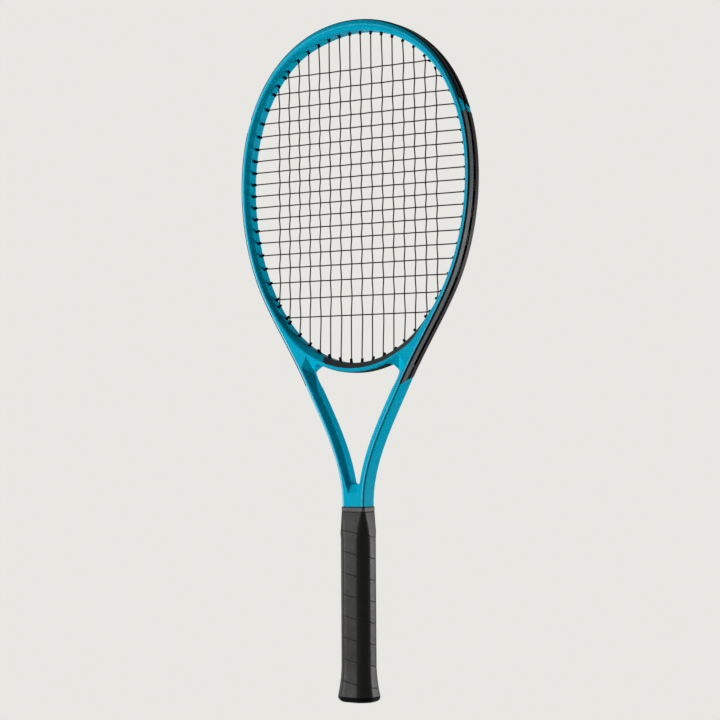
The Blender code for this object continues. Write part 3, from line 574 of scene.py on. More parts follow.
MAINS = main_holes()
CROSSES = cross_holes()
SIDE_MAINS = MAIN_PAIRS - sum((index + 0.5) * MAIN_SPACING < BRIDGE_REACH for index in range(MAIN_PAIRS))
BUMPER_END = CROSSES[BUMPER_CROSSES - 1][1].exit + BUMPER_TAIL
STRIP_START = CROSSES[BUMPER_CROSSES][1].exit - STRIP_FIRST_LEAD
STRIP_END = MAINS[-SIDE_MAINS][0].exit + STRIP_TAIL
BUMPER_CHANNEL_END = BUMPER_END - BUMPER_OVERHANG
STRIP_CHANNEL_END = MAINS[-SIDE_MAINS][0].exit + GROOVE_TAIL + 2 * CHANNEL_RAMP
BRIDGE_STRIP_END = max(abs(low.exit) for low, _ in MAINS if low.path is BRIDGE_PATH) + BRIDGE_STRIP_TAIL


# Meshes
def linked(name, data):
    """A new object in the scene."""
    made = bpy.data.objects.new(name, data)
    bpy.context.scene.collection.objects.link(made)
    return made


def mesh_of(name, bm):
    mesh = bpy.data.meshes.new(name)
    bm.to_mesh(mesh)
    bm.free()
    return mesh


def even_shading(piece):
    normals = piece.modifiers.new("even shading", "WEIGHTED_NORMAL")
    normals.mode = "FACE_AREA"
    normals.keep_sharp = True


def new_piece(name, bm, node, material, body="racket", weighted=True, crease=CREASE):
    """A finished piece that stands for a CAD node. crease is the least angle of a crisp edge."""
    bmesh.ops.remove_doubles(bm, verts=bm.verts, dist=MERGE)
    bmesh.ops.recalc_face_normals(bm, faces=bm.faces)
    mesh = mesh_of(name, bm)
    mesh.shade_smooth()
    mesh.set_sharp_from_angle(angle=crease)
    piece = linked(name, mesh)
    for entry in material if isinstance(material, list) else [material]:
        mesh.materials.append(entry)
    if weighted:
        even_shading(piece)
    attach(piece, body)
    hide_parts(node)
    return piece


def vertices(bm, points):
    return [bm.verts.new(point) for point in points]


def skin(bm, columns):
    """Faces between neighbouring columns of vertices."""
    for near, far in zip(columns, columns[1:]):
        for index in range(len(near) - 1):
            bm.faces.new((near[index], near[index + 1], far[index + 1], far[index]))


def ring_faces(bm, rings, slots=None):
    """Faces between neighbouring rings of vertices. slots gives the material of each vertex's face."""
    count = len(rings[0])
    for near, far in zip(rings, rings[1:]):
        for index in range(count):
            after = (index + 1) % count
            face = bm.faces.new((near[index], near[after], far[after], far[index]))
            face.material_index = slots[index] if slots else 0


def loft(bm, rings, slots=None):
    """A capped solid through rings of points."""
    loops = [vertices(bm, ring) for ring in rings]
    ring_faces(bm, loops, slots)
    bm.faces.new(loops[0])
    bm.faces.new(loops[-1])


def circle(centre, across, up, radius, sides):
    angles = [2 * math.pi * side / sides for side in range(sides)]
    return [centre + (across * math.cos(angle) + up * math.sin(angle)) * radius for angle in angles]


def sweep(bm, points, radii):
    """A round tube along points in space."""
    points = [Vector(point) for point in points]
    across = (points[1] - points[0]).orthogonal()
    rings = []
    for index, (point, radius) in enumerate(zip(points, radii)):
        before, after = points[max(index - 1, 0)], points[min(index + 1, len(points) - 1)]
        along = (after - before).normalized()
        across = (across - along * across.dot(along)).normalized()
        rings.append(circle(point, across, along.cross(across), radius, TUBE_SIDES))
    loft(bm, rings)


def turned(bm, start, way, profile):
    """A round solid about an axis, from pairs of a distance along it and a radius."""
    across, up, along = way.to_track_quat("Z", "Y").to_matrix().col
    rings = []
    for distance, radius in profile:
        rings.append(vertices(bm, circle(start + along * distance, across, up, radius, BARREL_SIDES)))
    ring_faces(bm, rings + rings[:1])


# Materials
def feed(node, inputs):
    """Sets the inputs of a shader node, to values or to links from other nodes."""
    for name, value in inputs.items():
        socket = node.inputs[name]
        if isinstance(value, bpy.types.NodeSocket):
            node.id_data.links.new(value, socket)
        elif socket.type == "RGBA":
            socket.default_value = (*value, 1.0)
        else:
            socket.default_value = value


def add_node(tree, kind, output, inputs, **settings):
    """The named output of a new shader node."""
    made = tree.nodes.new(kind)
    for name, value in settings.items():
        setattr(made, name, value)
    feed(made, inputs)
    return made.outputs[output]


class Shader:
    """A procedural material, with short ways to add its nodes."""

    def __init__(self, name, gloss=0.5, metal=0.0):
        self.material = bpy.data.materials.new(name)
        self.material.use_nodes = True
        self.tree = self.material.node_tree
        self.principled = self.tree.nodes["Principled BSDF"]
        self.place = self.tree.nodes.new("ShaderNodeTexCoord").outputs["Object"]
        feed(self.principled, {"Specular IOR Level": gloss, "Metallic": metal})

    def noise(self, scale, detail=3.0, roughness=0.55, stretch=None):
        place = self.place
        if stretch:
            place = add_node(self.tree, "ShaderNodeMapping", "Vector", {"Vector": place, "Scale": stretch})
        inputs = {"Vector": place, "Scale": scale, "Detail": detail, "Roughness": roughness}
        return add_node(self.tree, "ShaderNodeTexNoise", "Fac", inputs)

    def cells(self, scale):
        inputs = {"Vector": self.place, "Scale": scale, "Smoothness": 0.35}
        return add_node(self.tree, "ShaderNodeTexVoronoi", "Distance", inputs, feature="SMOOTH_F1")

    def spread(self, value, low=0.0, high=1.0, start=0.3, end=0.7):
        """A value stretched from the range of start and end to that of low and high."""
        inputs = {"Value": value, "From Min": start, "From Max": end, "To Min": low, "To Max": high}
        return add_node(self.tree, "ShaderNodeMapRange", "Result", inputs)

    def blend(self, share, low, high):
        """A colour between two others, which are the mixing node's inputs 6 and 7."""
        return add_node(self.tree, "ShaderNodeMix", 2, {"Factor": share, 6: low, 7: high}, data_type="RGBA")

    def attribute(self, name):
        return add_node(self.tree, "ShaderNodeAttribute", "Fac", {}, attribute_name=name)

    def bump(self, height, strength, distance, **before):
        inputs = {"Height": height, "Strength": strength, "Distance": distance, **before}
        return add_node(self.tree, "ShaderNodeBump", "Normal", inputs)

    def finish(self, colour, rough, **normal):
        feed(self.principled, {"Base Color": colour, "Roughness": rough, **normal})
        return self.material


def paint(name, gloss):
    """Teal lacquer over the composite, with charcoal on the bridge."""
    shader = Shader(name, gloss)
    cloud = shader.spread(shader.noise(28.0, 4.0))
    teal = shader.blend(cloud, (0.0, 0.308, 0.462), (0.0, 0.336, 0.502))
    band = shader.spread(shader.attribute("band"), start=-BAND_BLUR, end=BAND_BLUR)
    charcoal = shader.blend(shader.noise(900.0, 2.0), (0.030, 0.036, 0.038), (0.042, 0.048, 0.050))
    colour = shader.blend(band, teal, charcoal)
    rough = shader.spread(shader.noise(160.0), 0.30, 0.38)
    return shader.finish(colour, rough, Normal=shader.bump(shader.noise(120.0, 2.0), 0.01, 0.0004))


def plastic(name, dark, light, rough, gloss):
    """Moulded nylon with a fine spark-eroded grain."""
    shader = Shader(name, gloss)
    colour = shader.blend(shader.spread(shader.noise(220.0)), dark, light)
    rough = shader.spread(shader.noise(320.0), rough - 0.06, rough + 0.06)
    return shader.finish(colour, rough, Normal=shader.bump(shader.noise(1400.0, 2.0), 0.12, 0.0002))


def string_coat():
    """Black monofilament, glossy and slightly worn in a random pattern."""
    shader = Shader("black string", 0.10)
    colour = shader.blend(shader.noise(700.0), (0.004, 0.004, 0.004), (0.009, 0.009, 0.009))
    return shader.finish(colour, shader.spread(shader.noise(500.0), 0.30, 0.42))


def leather():
    """Synthetic leather of the grip, with a fine pebbled grain."""
    shader = Shader("grip leather", 0.10)
    pebbles = shader.cells(1500.0)
    cloud = shader.spread(shader.noise(60.0, 4.0))
    tone = shader.blend(cloud, (0.010, 0.010, 0.009), (0.016, 0.016, 0.014))
    colour = shader.blend(shader.spread(pebbles, 1.0, 0.0, 0.1, 0.6), tone, (0.008, 0.008, 0.007))
    rough = shader.spread(shader.noise(240.0), 0.31, 0.39)
    crease = shader.bump(shader.noise(85.0, 4.0), 0.28, 0.0008)
    return shader.finish(colour, rough, Normal=shader.bump(pebbles, 0.25, 0.0003, Normal=crease))


def rubber():
    shader = Shader("collar rubber", 0.3)
    colour = shader.blend(shader.noise(260.0), (0.040, 0.039, 0.043), (0.060, 0.058, 0.062))
    rough = shader.spread(shader.noise(300.0), 0.55, 0.7)
    return shader.finish(colour, rough, Normal=shader.bump(shader.noise(900.0, 2.0), 0.1, 0.0002))


def foam():
    shader = Shader("handle foam")
    cells = shader.cells(700.0)
    colour = shader.blend(cells, (0.62, 0.57, 0.43), (0.50, 0.45, 0.32))
    rough = shader.spread(shader.noise(200.0), 0.8, 0.95)
    return shader.finish(colour, rough, Normal=shader.bump(cells, 0.4, 0.0006))


def steel():
    shader = Shader("staple steel", metal=1.0)
    streaks = shader.noise(900.0, 2.0, 0.5, (1.0, 0.1, 1.0))
    colour = shader.blend(streaks, (0.52, 0.52, 0.53), (0.66, 0.66, 0.67))
    return shader.finish(colour, shader.spread(streaks, 0.22, 0.38))


PAINT = paint("teal lacquer", 0.006)
EDGE_PAINT = paint("polished teal lacquer", 0.28)
BLACK = plastic("black nylon", (0.001, 0.002, 0.003), (0.003, 0.004, 0.006), 0.40, 0.03)
GREY = plastic("grey nylon", (0.075, 0.088, 0.092), (0.092, 0.106, 0.110), 0.45, 0.05)
DARK_GREY = plastic("dark grey nylon", (0.014, 0.013, 0.016), (0.020, 0.019, 0.022), 0.45, 0.05)
BUMPER = plastic("bumper nylon", (0.005, 0.005, 0.005), (0.008, 0.008, 0.007), 0.50, 0.03)
STRING = string_coat()
LEATHER = leather()
RUBBER = rubber()
FOAM = foam()
STEEL = steel()


# Frame
def both_sides(half_line):
    """A line of pairs of an inset and a half width, from the front edge to the back edge."""
    return [(inset, -y) for inset, y in half_line] + [(inset, y) for inset, y in reversed(half_line)]


def placed(place, way, half_line):
    """A line of pairs of an inset and a half width as points across the frame."""
    return [(place.x + way.x * inset, y, place.y + way.y * inset) for inset, y in both_sides(half_line)]


def column(place, way, reach, depth, below, half=HALF, soft=EDGE_ROUND, crown=0.0):
    """Points across the frame's edge from front to back.

    way leads from the wall to the chamfer's edge on the face, reach is how far that is, depth is the
    chamfer's size down the wall, and below is what the wall holds, as pairs of an inset and a half width.
    crown is the width of the strip beside the chamfer that falls away from the flat face.
    """
    rim = reach + FACE_RIM + soft + crown
    profile = [(rim, half), (reach, half - crown * CROWN_SLOPE), (0.0, half - depth)] + below
    return placed(place, way, rounded(profile[:4], [soft, soft]) + profile[4:])


def strip_cover(distance):
    """How much of the channel for the strips there is at a distance along the outside, from 0 to 1."""
    in_bumper = BUMPER_CHANNEL_END - distance
    in_strip = min(distance - STRIP_START, STRIP_CHANNEL_END - distance)
    return min(max(max(in_bumper, in_strip) / CHANNEL_RAMP, 0.0), 1.0)


def outer_edge(distance):
    """The outer chamfer is larger along the bumper guard."""
    return mix(TIP_EDGE, OUTER_EDGE, ease(distance, BUMPER_CHANNEL_END, STRIP_START))


def outer_column(distance):
    place, out = OUTER.place(distance)
    cover = strip_cover(distance)
    slot = SLOT_DEPTH if distance < STRIP_CHANNEL_END else 0.0
    mouth, floor = mix(SLOT_WIDTH, CHANNEL_MOUTH, cover), mix(SLOT_FLOOR, CHANNEL_FLOOR, cover)
    below = [(0.0, mouth / 2), (mix(slot, CHANNEL_DEPTH, cover), floor / 2)]
    edge = outer_edge(distance)
    reach = edge + (TIP_EDGE_REACH - TIP_EDGE) * ease(distance, BUMPER_CHANNEL_END, 0.0)
    soft = max(EDGE_ROUND, edge * OUTER_ROUND)
    return column(place, -out, reach, edge, below, soft=soft, crown=FACE_CROWN)


def hoop_edge(angle):
    """The inner chamfer of the hoop, across the face and down the wall."""
    rise = math.sin(angle)
    at_tip = ease(rise, *TIP_RAMP)
    reach = mix(HOOP_EDGE, BRIDGE_EDGE, ease(-rise, *BRIDGE_RAMP))
    return mix(reach, TIP_HOOP_EDGE, at_tip), mix(HOOP_EDGE_DEPTH, TIP_HOOP_EDGE, at_tip)


def hoop_round(angle):
    """The chamfer's rounding, which is broad where the face widens into the arms."""
    drop = -math.sin(angle)
    return mix(HOOP_ROUND, ARM_ROUND, ease(drop, *ARM_RAMP) * (1 - ease(drop, *ARM_RAMP_END)))


def hoop_column(angle):
    way = oval_out(angle)
    if abs(abs(angle) - math.pi / 2) < 1e-9:
        way = Vector((0.0, math.copysign(1.0, angle)))
    reach, depth = hoop_edge(angle)
    return column(oval(angle), way, reach, depth, [(0.0, HOOP_FLAT)], soft=hoop_round(angle))


def between(place, face, depth=THROAT_EDGE_DEPTH):
    """A column of the throat from its place on the wall to its place on the face."""
    reach = (face - place).length
    front = rounded([(reach, HALF), (0.0, HALF - depth), (0.0, THROAT_FLAT)], [EDGE_ROUND])
    return placed(place, (face - place).normalized(), front)


def arm_face(distance):
    """The inner edge of an arm's face, at a distance along the outside."""
    share = (distance - ARM_FACE_START) / (ARM_FACE_END - ARM_FACE_START)
    return OUTER.place(distance, mix(ARM_FACE_TOP, ARM_FACE_LOW, share))[0]


def bridge_columns():
    """The columns along the underside of the bridge, from the middle."""
    columns = []
    for angle in span(-math.pi / 2, TOP_ANGLE, BRIDGE_STEPS)[:-2]:
        place, out = oval_offset(angle, BRIDGE_WIDTH), oval_out(angle)
        if not columns:
            place.x = 0.0
            out = Vector((0.0, -1.0))
        columns.append(between(place, place - out * BRIDGE_LIP, BRIDGE_LIP))
    return columns


def corner_columns():
    """The columns of the cut corner between the bridge and an arm."""
    start, end = oval_offset(TOP_ANGLE, BRIDGE_WIDTH), arm_wall(CORNER_DISTANCE)
    cut, cut_length = (end - start).normalized(), (end - start).length
    top_way = (oval_offset(TOP_ANGLE - ANGLE_STEP, BRIDGE_WIDTH) - start).normalized()
    arm_way = (arm_wall(CORNER_DISTANCE + DISTANCE_STEP) - end).normalized()
    meeting = bridge_edge(FACET_ANGLE)
    upper = corner_curve(start + top_way * CORNER_SOFT, start, start + cut * CORNER_SOFT, CORNER_STEPS)
    lower = corner_curve(end - cut * CORNER_SOFT, end, end + arm_way * CORNER_SOFT, CORNER_STEPS)
    shares = span(0.0, 1.0, CORNER_STEPS)
    angles = [mix(TOP_ANGLE, FACET_ANGLE, ease(mix(CORNER_LEAD, 1.0, share))) for share in shares]
    pairs = [(place, bridge_edge(angle)) for place, angle in zip(upper, angles)]
    pairs += [(upper[-1].lerp(lower[0], share), meeting) for share in QUARTERS]
    for place, share in zip(lower, shares):
        pairs.append((place, meeting.lerp(arm_face(ARM_FACE_START), ease(share, 0.5, 1.0))))
    columns = []
    for place, face in pairs:
        along = min(max((place - start).dot(cut) / cut_length, 0.0), 1.0)
        columns.append(between(place, face, mix(BRIDGE_LIP, CORNER_DEPTH, along)))
    return columns


def arm_columns():
    """The columns down the inner wall of an arm."""
    walls = span(CORNER_DISTANCE + CORNER_SOFT, CROTCH_DISTANCE, ARM_STEPS)
    crotch_point = arm_wall(CROTCH_DISTANCE) - Vector((0.0, CROTCH_DROP))
    columns = []
    for distance in walls[1:-1]:
        share = (distance - walls[0]) / (ARM_FACE_END - walls[0])
        face = arm_face(mix(ARM_FACE_START, ARM_FACE_END, min(share, 1.0)))
        if share > 1.0:
            rest = (distance - ARM_FACE_END) / (CROTCH_DISTANCE - ARM_FACE_END)
            face = face.lerp(crotch_point, rest)
        depth = mix(CORNER_DEPTH, THROAT_EDGE_DEPTH, ease((distance - walls[0]) / CORNER_FADE))
        columns.append(between(arm_wall(distance), face, depth))
    return columns


def crotch_columns():
    """The columns round the end of the throat, to the middle of the racket."""
    crotch = arm_wall(CROTCH_DISTANCE)
    drop = Vector((0.0, CROTCH_DROP))
    side_way = (arm_wall(CROTCH_DISTANCE - CROTCH_SOFT) - crotch).normalized()
    end = crotch - Vector((CROTCH_SOFT, 0.0))
    places = corner_curve(crotch + side_way * CROTCH_SOFT, crotch, end, CROTCH_STEPS)
    middle = Vector((0.0, crotch.y))
    return [between(place, crotch - drop) for place in places] + [between(middle, middle - drop)]


def core_column(z):
    """A column of the frame's leg inside the handle."""
    below = [(0.0, CHANNEL_MOUTH / 4), (0.0, CHANNEL_FLOOR / 4)]
    left = Vector((-1.0, 0.0))
    return column(Vector((CORE_WIDTH / 2, z)), left, CORE_EDGE, CORE_EDGE, below, CORE_DEPTH / 2)


def outer_stops():
    """Where the columns of the frame's outside stand, from the shaft to the tip."""
    stops = even_span(0.0, HOOP_END, FACE_STEP) + even_span(HOOP_END, ARM_END, FACE_STEP)[1:]
    for start, way in ((BUMPER_CHANNEL_END, -1), (STRIP_START, 1), (STRIP_CHANNEL_END, -1)):
        stops += [start, start + way * CHANNEL_RAMP]
    return sorted(stops + [OUTER.length], reverse=True)


def build_frame():
    bm = bmesh.new()
    across = bm.verts.layers.float.new("across")
    band = bm.verts.layers.float.new("band")
    core = [vertices(bm, core_column(z)) for z in (CORE_BOTTOM_Z, HANDLE_TOP_Z)]
    outside = [vertices(bm, outer_column(distance)) for distance in outer_stops()]
    angles = span(math.pi / 2, -math.pi / 2, HOOP_STEPS)
    hoop = [vertices(bm, hoop_column(angle)) for angle in angles]
    inner_columns = bridge_columns() + corner_columns() + arm_columns() + crotch_columns()
    throat = [vertices(bm, points) for points in inner_columns]
    for columns in (core + outside, hoop, throat):
        skin(bm, columns)

    levels = ((CORE_BOTTOM_Z, CORE_DEPTH / 2), (HANDLE_TOP_Z, CORE_DEPTH / 2), (SHAFT_BOTTOM_Z, HALF))
    bottom = []
    for side, face in ((-1, 0), (1, -1)):
        middles = vertices(bm, [(0.0, side * half, z) for z, half in levels])
        bottom.append(middles[0])
        edge = [line[face] for line in core + outside]
        for index in range(len(core)):
            bm.faces.new((edge[index], edge[index + 1], middles[index + 1], middles[index]))
        loop = [middles[-1]]
        for vertex in edge[len(core):] + [line[face] for line in hoop + throat]:
            if (vertex.co - loop[-1].co).length > NEAR:
                loop.append(vertex)
        bm.faces.new(loop)
    bm.faces.new(core[0] + bottom[::-1])

    for vertex in bm.verts:
        vertex[across] = -1.0
    polished = {vertex for line in outside for vertex in line[:POLISHED] + line[-POLISHED:]}
    for face in bm.faces:
        face.material_index = int(polished.issuperset(face.verts))
    for line, angle in zip(hoop, angles):
        if math.sin(angle) < 0.0:
            for index in range(1, EDGE_POINTS):
                line[index][across] = line[-1 - index][across] = (index - 1) / (EDGE_POINTS - 2)
    bmesh.ops.remove_doubles(bm, verts=bm.verts, dist=MERGE)
    made = bmesh.ops.duplicate(bm, geom=bm.verts[:] + bm.edges[:] + bm.faces[:])
    for item in made["geom"]:
        if isinstance(item, bmesh.types.BMVert):
            item.co.x = -item.co.x
    for vertex in bm.verts:
        share = vertex[across]
        left, right = mix(*BAND_LEFT, share), mix(*BAND_RIGHT, share)
        vertex[band] = min(vertex.co.x - left, right - vertex.co.x) if share >= 0.0 else -1.0
    new_piece("racket_frame", bm, "frame", [PAINT, EDGE_PAINT], crease=FRAME_CREASE)


# Strips
def strip_rings(path, distances, slant, section):
    """Rings along a strip, whose ends may slant from the front edge to the back edge."""
    high = max(abs(distance) for distance in distances)
    rings = []
    for distance in distances:
        ring = []
        tail = max(1 - (high - abs(distance)) / SLANT_LENGTH, 0.0)
        for inset, y in section(abs(distance)):
            along = math.copysign(abs(distance) + slant * y * tail, distance)
            place = path.place(along, inset)[0]
            ring.append((place.x, y, place.y))
        rings.append(ring)
    return rings


def strip_section(proud, border, groove_floor, crown):
    """A strip's section: its border, two crowned lands and the string groove between them."""
    groove = GROOVE_WIDTH / 2
    edge = border[-1][1]
    top = border + [(-proud * rise, edge - crown * share) for rise, share in LAND_CROWN]
    top += [
        (-proud, (edge + groove) / 2), (-proud, groove + GROOVE_LIP), (-proud + GROOVE_LIP_DROP, groove),
        (groove_floor, groove * GROOVE_DRAFT),
    ]
    under = [
        (STRIP_SKIRT, CHANNEL_MOUTH / 2 - SKIRT_GAP), (STRIP_SEAT, CHANNEL_FLOOR / 2 - SEAT_GAP),
        (STRIP_SEAT, groove * SEAT_MIDDLE),
    ]
    return both_sides(top) + both_sides(under)[::-1]


def side_section(distance):
    """A side strip: its border folds over the frame's outer edge."""
    close = ease((distance - STRIP_CHANNEL_END + 2 * CHANNEL_RAMP) / CHANNEL_RAMP)
    border = [(inset, HALF - gap) for inset, gap in SIDE_BORDER]
    return strip_section(STRIP_PROUD, border, mix(GROOVE_FLOOR, -CLEARANCE / 3, close), STRIP_CROWN)


def bumper_section(distance):
    """The bumper guard: it lies between the rounded outer edges."""
    border = [(inset, HALF - outer_edge(distance) + lap) for inset, lap in BUMPER_BORDER]
    return strip_section(BUMPER_PROUD, border, GROOVE_FLOOR, BUMPER_CROWN)


def bridge_section(distance):
    """The strip under the bridge, which is the same all along."""
    groove = GROOVE_WIDTH / 2
    wide = BRIDGE_MOUTH / 2 - CLEARANCE
    top = [(inset, wide - gap) for inset, gap in BRIDGE_BORDER]
    top += [(-BRIDGE_STRIP_PROUD + drop, groove + lip) for drop, lip in BRIDGE_GROOVE]
    return both_sides(top + [(BRIDGE_GROOVE_FLOOR, groove * BRIDGE_GROOVE_DRAFT)])


def add_barrels(bm, holes, shown):
    """A tapered barrel for each hole, from the strip to just inside the hoop."""
    for hole, y in holes:
        way = Vector((hole.way.x, 0.0, hole.way.y))
        start = Vector((hole.inner.x, y, hole.inner.y)) - way * shown
        length = shown + BARREL_BURIED
        profile = [
            (BARREL_MOUTH, BORE_RADIUS), (0.0, BARREL_TIP_RADIUS - BARREL_ROUND),
            (BARREL_ROUND, BARREL_TIP_RADIUS), (shown, BARREL_ROOT_RADIUS),
            (length, BARREL_ROOT_RADIUS), (length, BORE_RADIUS),
        ]
        turned(bm, start, way, profile)


def build_strip(name, node, path, distances, slant, section, holes, materials, slots=None):
    bm = bmesh.new()
    loft(bm, strip_rings(path, distances, slant, section), slots)
    add_barrels(bm, holes, TIP_BARREL_SHOWN if section is bumper_section else BARREL_SHOWN)
    new_piece(name, bm, node, materials)


def build_strips():
    slots = [0] * len(bumper_section(0.0))
    for slot, land in ((1, FRONT_LAND), (2, BACK_LAND)):
        for index in land:
            slots[index] = slot
    holes = [(tip, MAIN_Y) for _, tip in MAINS]
    holes += [(hole, CROSS_Y) for pair in CROSSES[:BUMPER_CROSSES] for hole in pair]
    along = even_span(-BUMPER_END, BUMPER_END, FACE_STEP)
    materials = [BLACK, BUMPER, BUMPER]
    build_strip(
        "bumper_guard_moulding", "bumper_guard", OUTER, along, BUMPER_SLANT, bumper_section, holes,
        materials, slots,
    )

    materials = [BLACK, GREY, DARK_GREY]
    sides = (("left", -1, 0, MAINS[:SIDE_MAINS]), ("right", 1, 1, MAINS[-SIDE_MAINS:]))
    for word, side, end, mains in sides:
        along = [side * place for place in even_span(STRIP_START, STRIP_END, FACE_STEP)]
        holes = [(low, MAIN_Y) for low, _ in mains]
        holes += [(pair[end], CROSS_Y) for pair in CROSSES[BUMPER_CROSSES:]]
        node = "grommet_strip_" + word
        build_strip(
            node + "_moulding", node, OUTER, along, STRIP_SLANT, side_section, holes, materials, slots
        )

    along = even_span(-BRIDGE_STRIP_END, BRIDGE_STRIP_END, FACE_STEP)
    holes = [(low, MAIN_Y) for low, _ in MAINS if low.path is BRIDGE_PATH]
    node = "throat_grommet_strip"
    build_strip("throat_strip_moulding", node, BRIDGE_PATH, along, 0.0, bridge_section, holes, BLACK)


# Strings
def loop_between(first, second):
    """The string's way outside the frame, out of one hole, along the groove and into the next."""
    way = math.copysign(BEND, second.exit - first.exit)
    stops = even_span(0.0, 1.0, FACE_STEP / max(abs(second.exit - first.exit), FACE_STEP))
    stops = [mix(first.exit + way, second.exit - way, stop) for stop in stops]
    ends = [hole.sunk(STRING_INSET) - hole.way * BEND for hole in (first, second)]
    return ends[:1] + [first.path.place(stop, STRING_INSET)[0] for stop in stops] + ends[1:]


def add_knot(bm, hole, towards, level):
    """The knot at the end of a string, just inside the hoop."""
    way = (towards.mouth - hole.mouth).normalized()
    places = [hole.mouth + way * reach * STRING_RADIUS for reach, _ in KNOT_FORM]
    radii = [swell * STRING_RADIUS for _, swell in KNOT_FORM]
    sweep(bm, [(place.x, level, place.y) for place in places], radii)


def woven_run(start, end, met, over, level):
    """Points of one run through the string bed, over and under the strings that it meets.

    met are the shares of the run at which it meets them, and over is the side on which it passes the first.
    """
    stops = [0.0] + met + [1.0]
    heights = [level] + [over * (-1) ** index * STRING_RADIUS for index in range(len(met))] + [level]
    points = []
    for index in range(len(stops) - 1):
        for share in span(0.0, 1.0, WEAVE_STEPS)[:-1]:
            y = mix(heights[index], heights[index + 1], (1 - math.cos(math.pi * share)) / 2)
            points.append((start + (end - start) * mix(stops[index], stops[index + 1], share), y))
    return points


def build_string(node, pairs, level, axis, rows, turn):
    """A string woven through the other string, whose runs cross an axis at the given rows."""
    runs = [pair[::-1] if index % 2 == 0 else pair for index, pair in enumerate(pairs)]
    first, last = runs[0][0], runs[-1][1]
    line = [(first.sunk(CHANNEL_DEPTH), level)]
    for index, (start, end) in enumerate(runs):
        low, length = start.mouth[axis], end.mouth[axis] - start.mouth[axis]
        meetings = sorted(((row - low) / length, number) for number, row in enumerate(rows))
        meetings = [meeting for meeting in meetings if 0.0 < meeting[0] < 1.0]
        over = turn * (-1) ** (index + meetings[0][1])
        line += woven_run(start.mouth, end.mouth, [share for share, _ in meetings], over, level)
        line.append((end.mouth, level))
        if end is not last:
            line += [(point, level) for point in loop_between(end, runs[index + 1][0])]
    line.append((last.sunk(CHANNEL_DEPTH), level))
    bm = bmesh.new()
    sweep(bm, [(point.x, y, point.y) for point, y in line], [STRING_RADIUS] * len(line))
    add_knot(bm, first, runs[0][1], level)
    add_knot(bm, last, runs[-1][0], level)
    new_piece(node + "_woven", bm, node, STRING, weighted=False)


# Handle
def octagon(width, depth, bevel, offset=0.0):
    """A rectangle with bevelled corners, grown on all sides by offset."""
    x, y = width / 2 + offset, depth / 2 + offset
    bevel += offset * (2 - math.sqrt(2))
    return [
        (x, -y + bevel), (x, y - bevel), (x - bevel, y), (-x + bevel, y),
        (-x, y - bevel), (-x, -y + bevel), (-x + bevel, -y), (x - bevel, -y),
    ]


def handle_outline(z, offset=0.0):
    """The handle's eight-sided outline under the grip at a height."""
    flare = FLARE * max(1 - z / FLARE_HEIGHT, 0.0) ** 2
    taper = max(1 - (HANDLE_TOP_Z - z) / HANDLE_TAPER, 0.0)
    width = HANDLE_WIDTH + flare - (HANDLE_WIDTH - HANDLE_TOP_WIDTH) * taper
    depth = HANDLE_DEPTH + flare - (HANDLE_DEPTH - HANDLE_TOP_DEPTH) * taper
    return octagon(width, depth, HANDLE_BEVEL * depth / HANDLE_DEPTH, offset)


def grip_outline(z, drop=0.0):
    """The outside of the grip at a height, which thins towards the shaft, sunk by drop."""
    full = handle_outline(min(z, HANDLE_TOP_Z - HANDLE_TAPER), CLEARANCE + GRIP_THICKNESS)
    rise = max(1 - (HANDLE_TOP_Z - z) / GRIP_TAPER, 0.0)
    width, depth = mix(2 * full[0][0], GRIP_TOP_WIDTH, rise), mix(2 * full[2][1], GRIP_TOP_DEPTH, rise)
    narrow = max(1 - (HANDLE_TOP_Z - z) / TOP_BEVEL_LENGTH, 0.0)
    bevel = mix(full[1][0] - full[2][0], GRIP_TOP_BEVEL, narrow)
    return soft_outline(octagon(width, depth, bevel, -drop), GRIP_CORNER)


def soft_outline(outline, radius, flat_steps=3, steps=6):
    """An outline with rounded corners, with the same number of points whatever its size."""
    corners = [Vector(corner) for corner in outline]
    line = []
    for before, corner, after in zip(corners[-1:] + corners, corners, corners[1:] + corners[:1]):
        back, on = corner_cuts(before, corner, after, radius)
        line += corner_curve(corner + back, corner, corner + on, steps)
        line += [(corner + on).lerp(after - on, step / flat_steps) for step in range(1, flat_steps)]
    return line


def at_height(outline, z):
    return [(*point, z) for point in outline]


def grip_turns():
    """The points of the outline in the order of winding, and the share of a turn made at each."""
    outline = soft_outline(handle_outline(HANDLE_TOP_Z / 2), GRIP_CORNER)
    count = len(outline)
    start = GRIP_START * (count // 8)
    order = [(start - step) % count for step in range(count + 1)]
    lengths = [0.0]
    for near, far in zip(order, order[1:]):
        lengths.append(lengths[-1] + (outline[far] - outline[near]).length)
    return [(place, length / lengths[-1]) for place, length in zip(order[:-1], lengths)]


def grip_edges():
    """The winding's place on the outline with its lower and upper edge, from the cap to the collar."""
    bottom, top = RIM_HEIGHT + CLEARANCE, HANDLE_TOP_Z
    for turn in range(math.ceil((top - bottom) / GRIP_PITCH) + 1):
        for place, share in grip_turns():
            low = bottom + GRIP_PITCH * (turn + share - 1)
            high = low + GRIP_PITCH - GRIP_SEAM
            if high >= bottom + GRIP_START_LEAST and low <= top - GRIP_TOP_LEAST:
                yield place, max(low, bottom), top if high > top - GRIP_TOP_LEAST else high


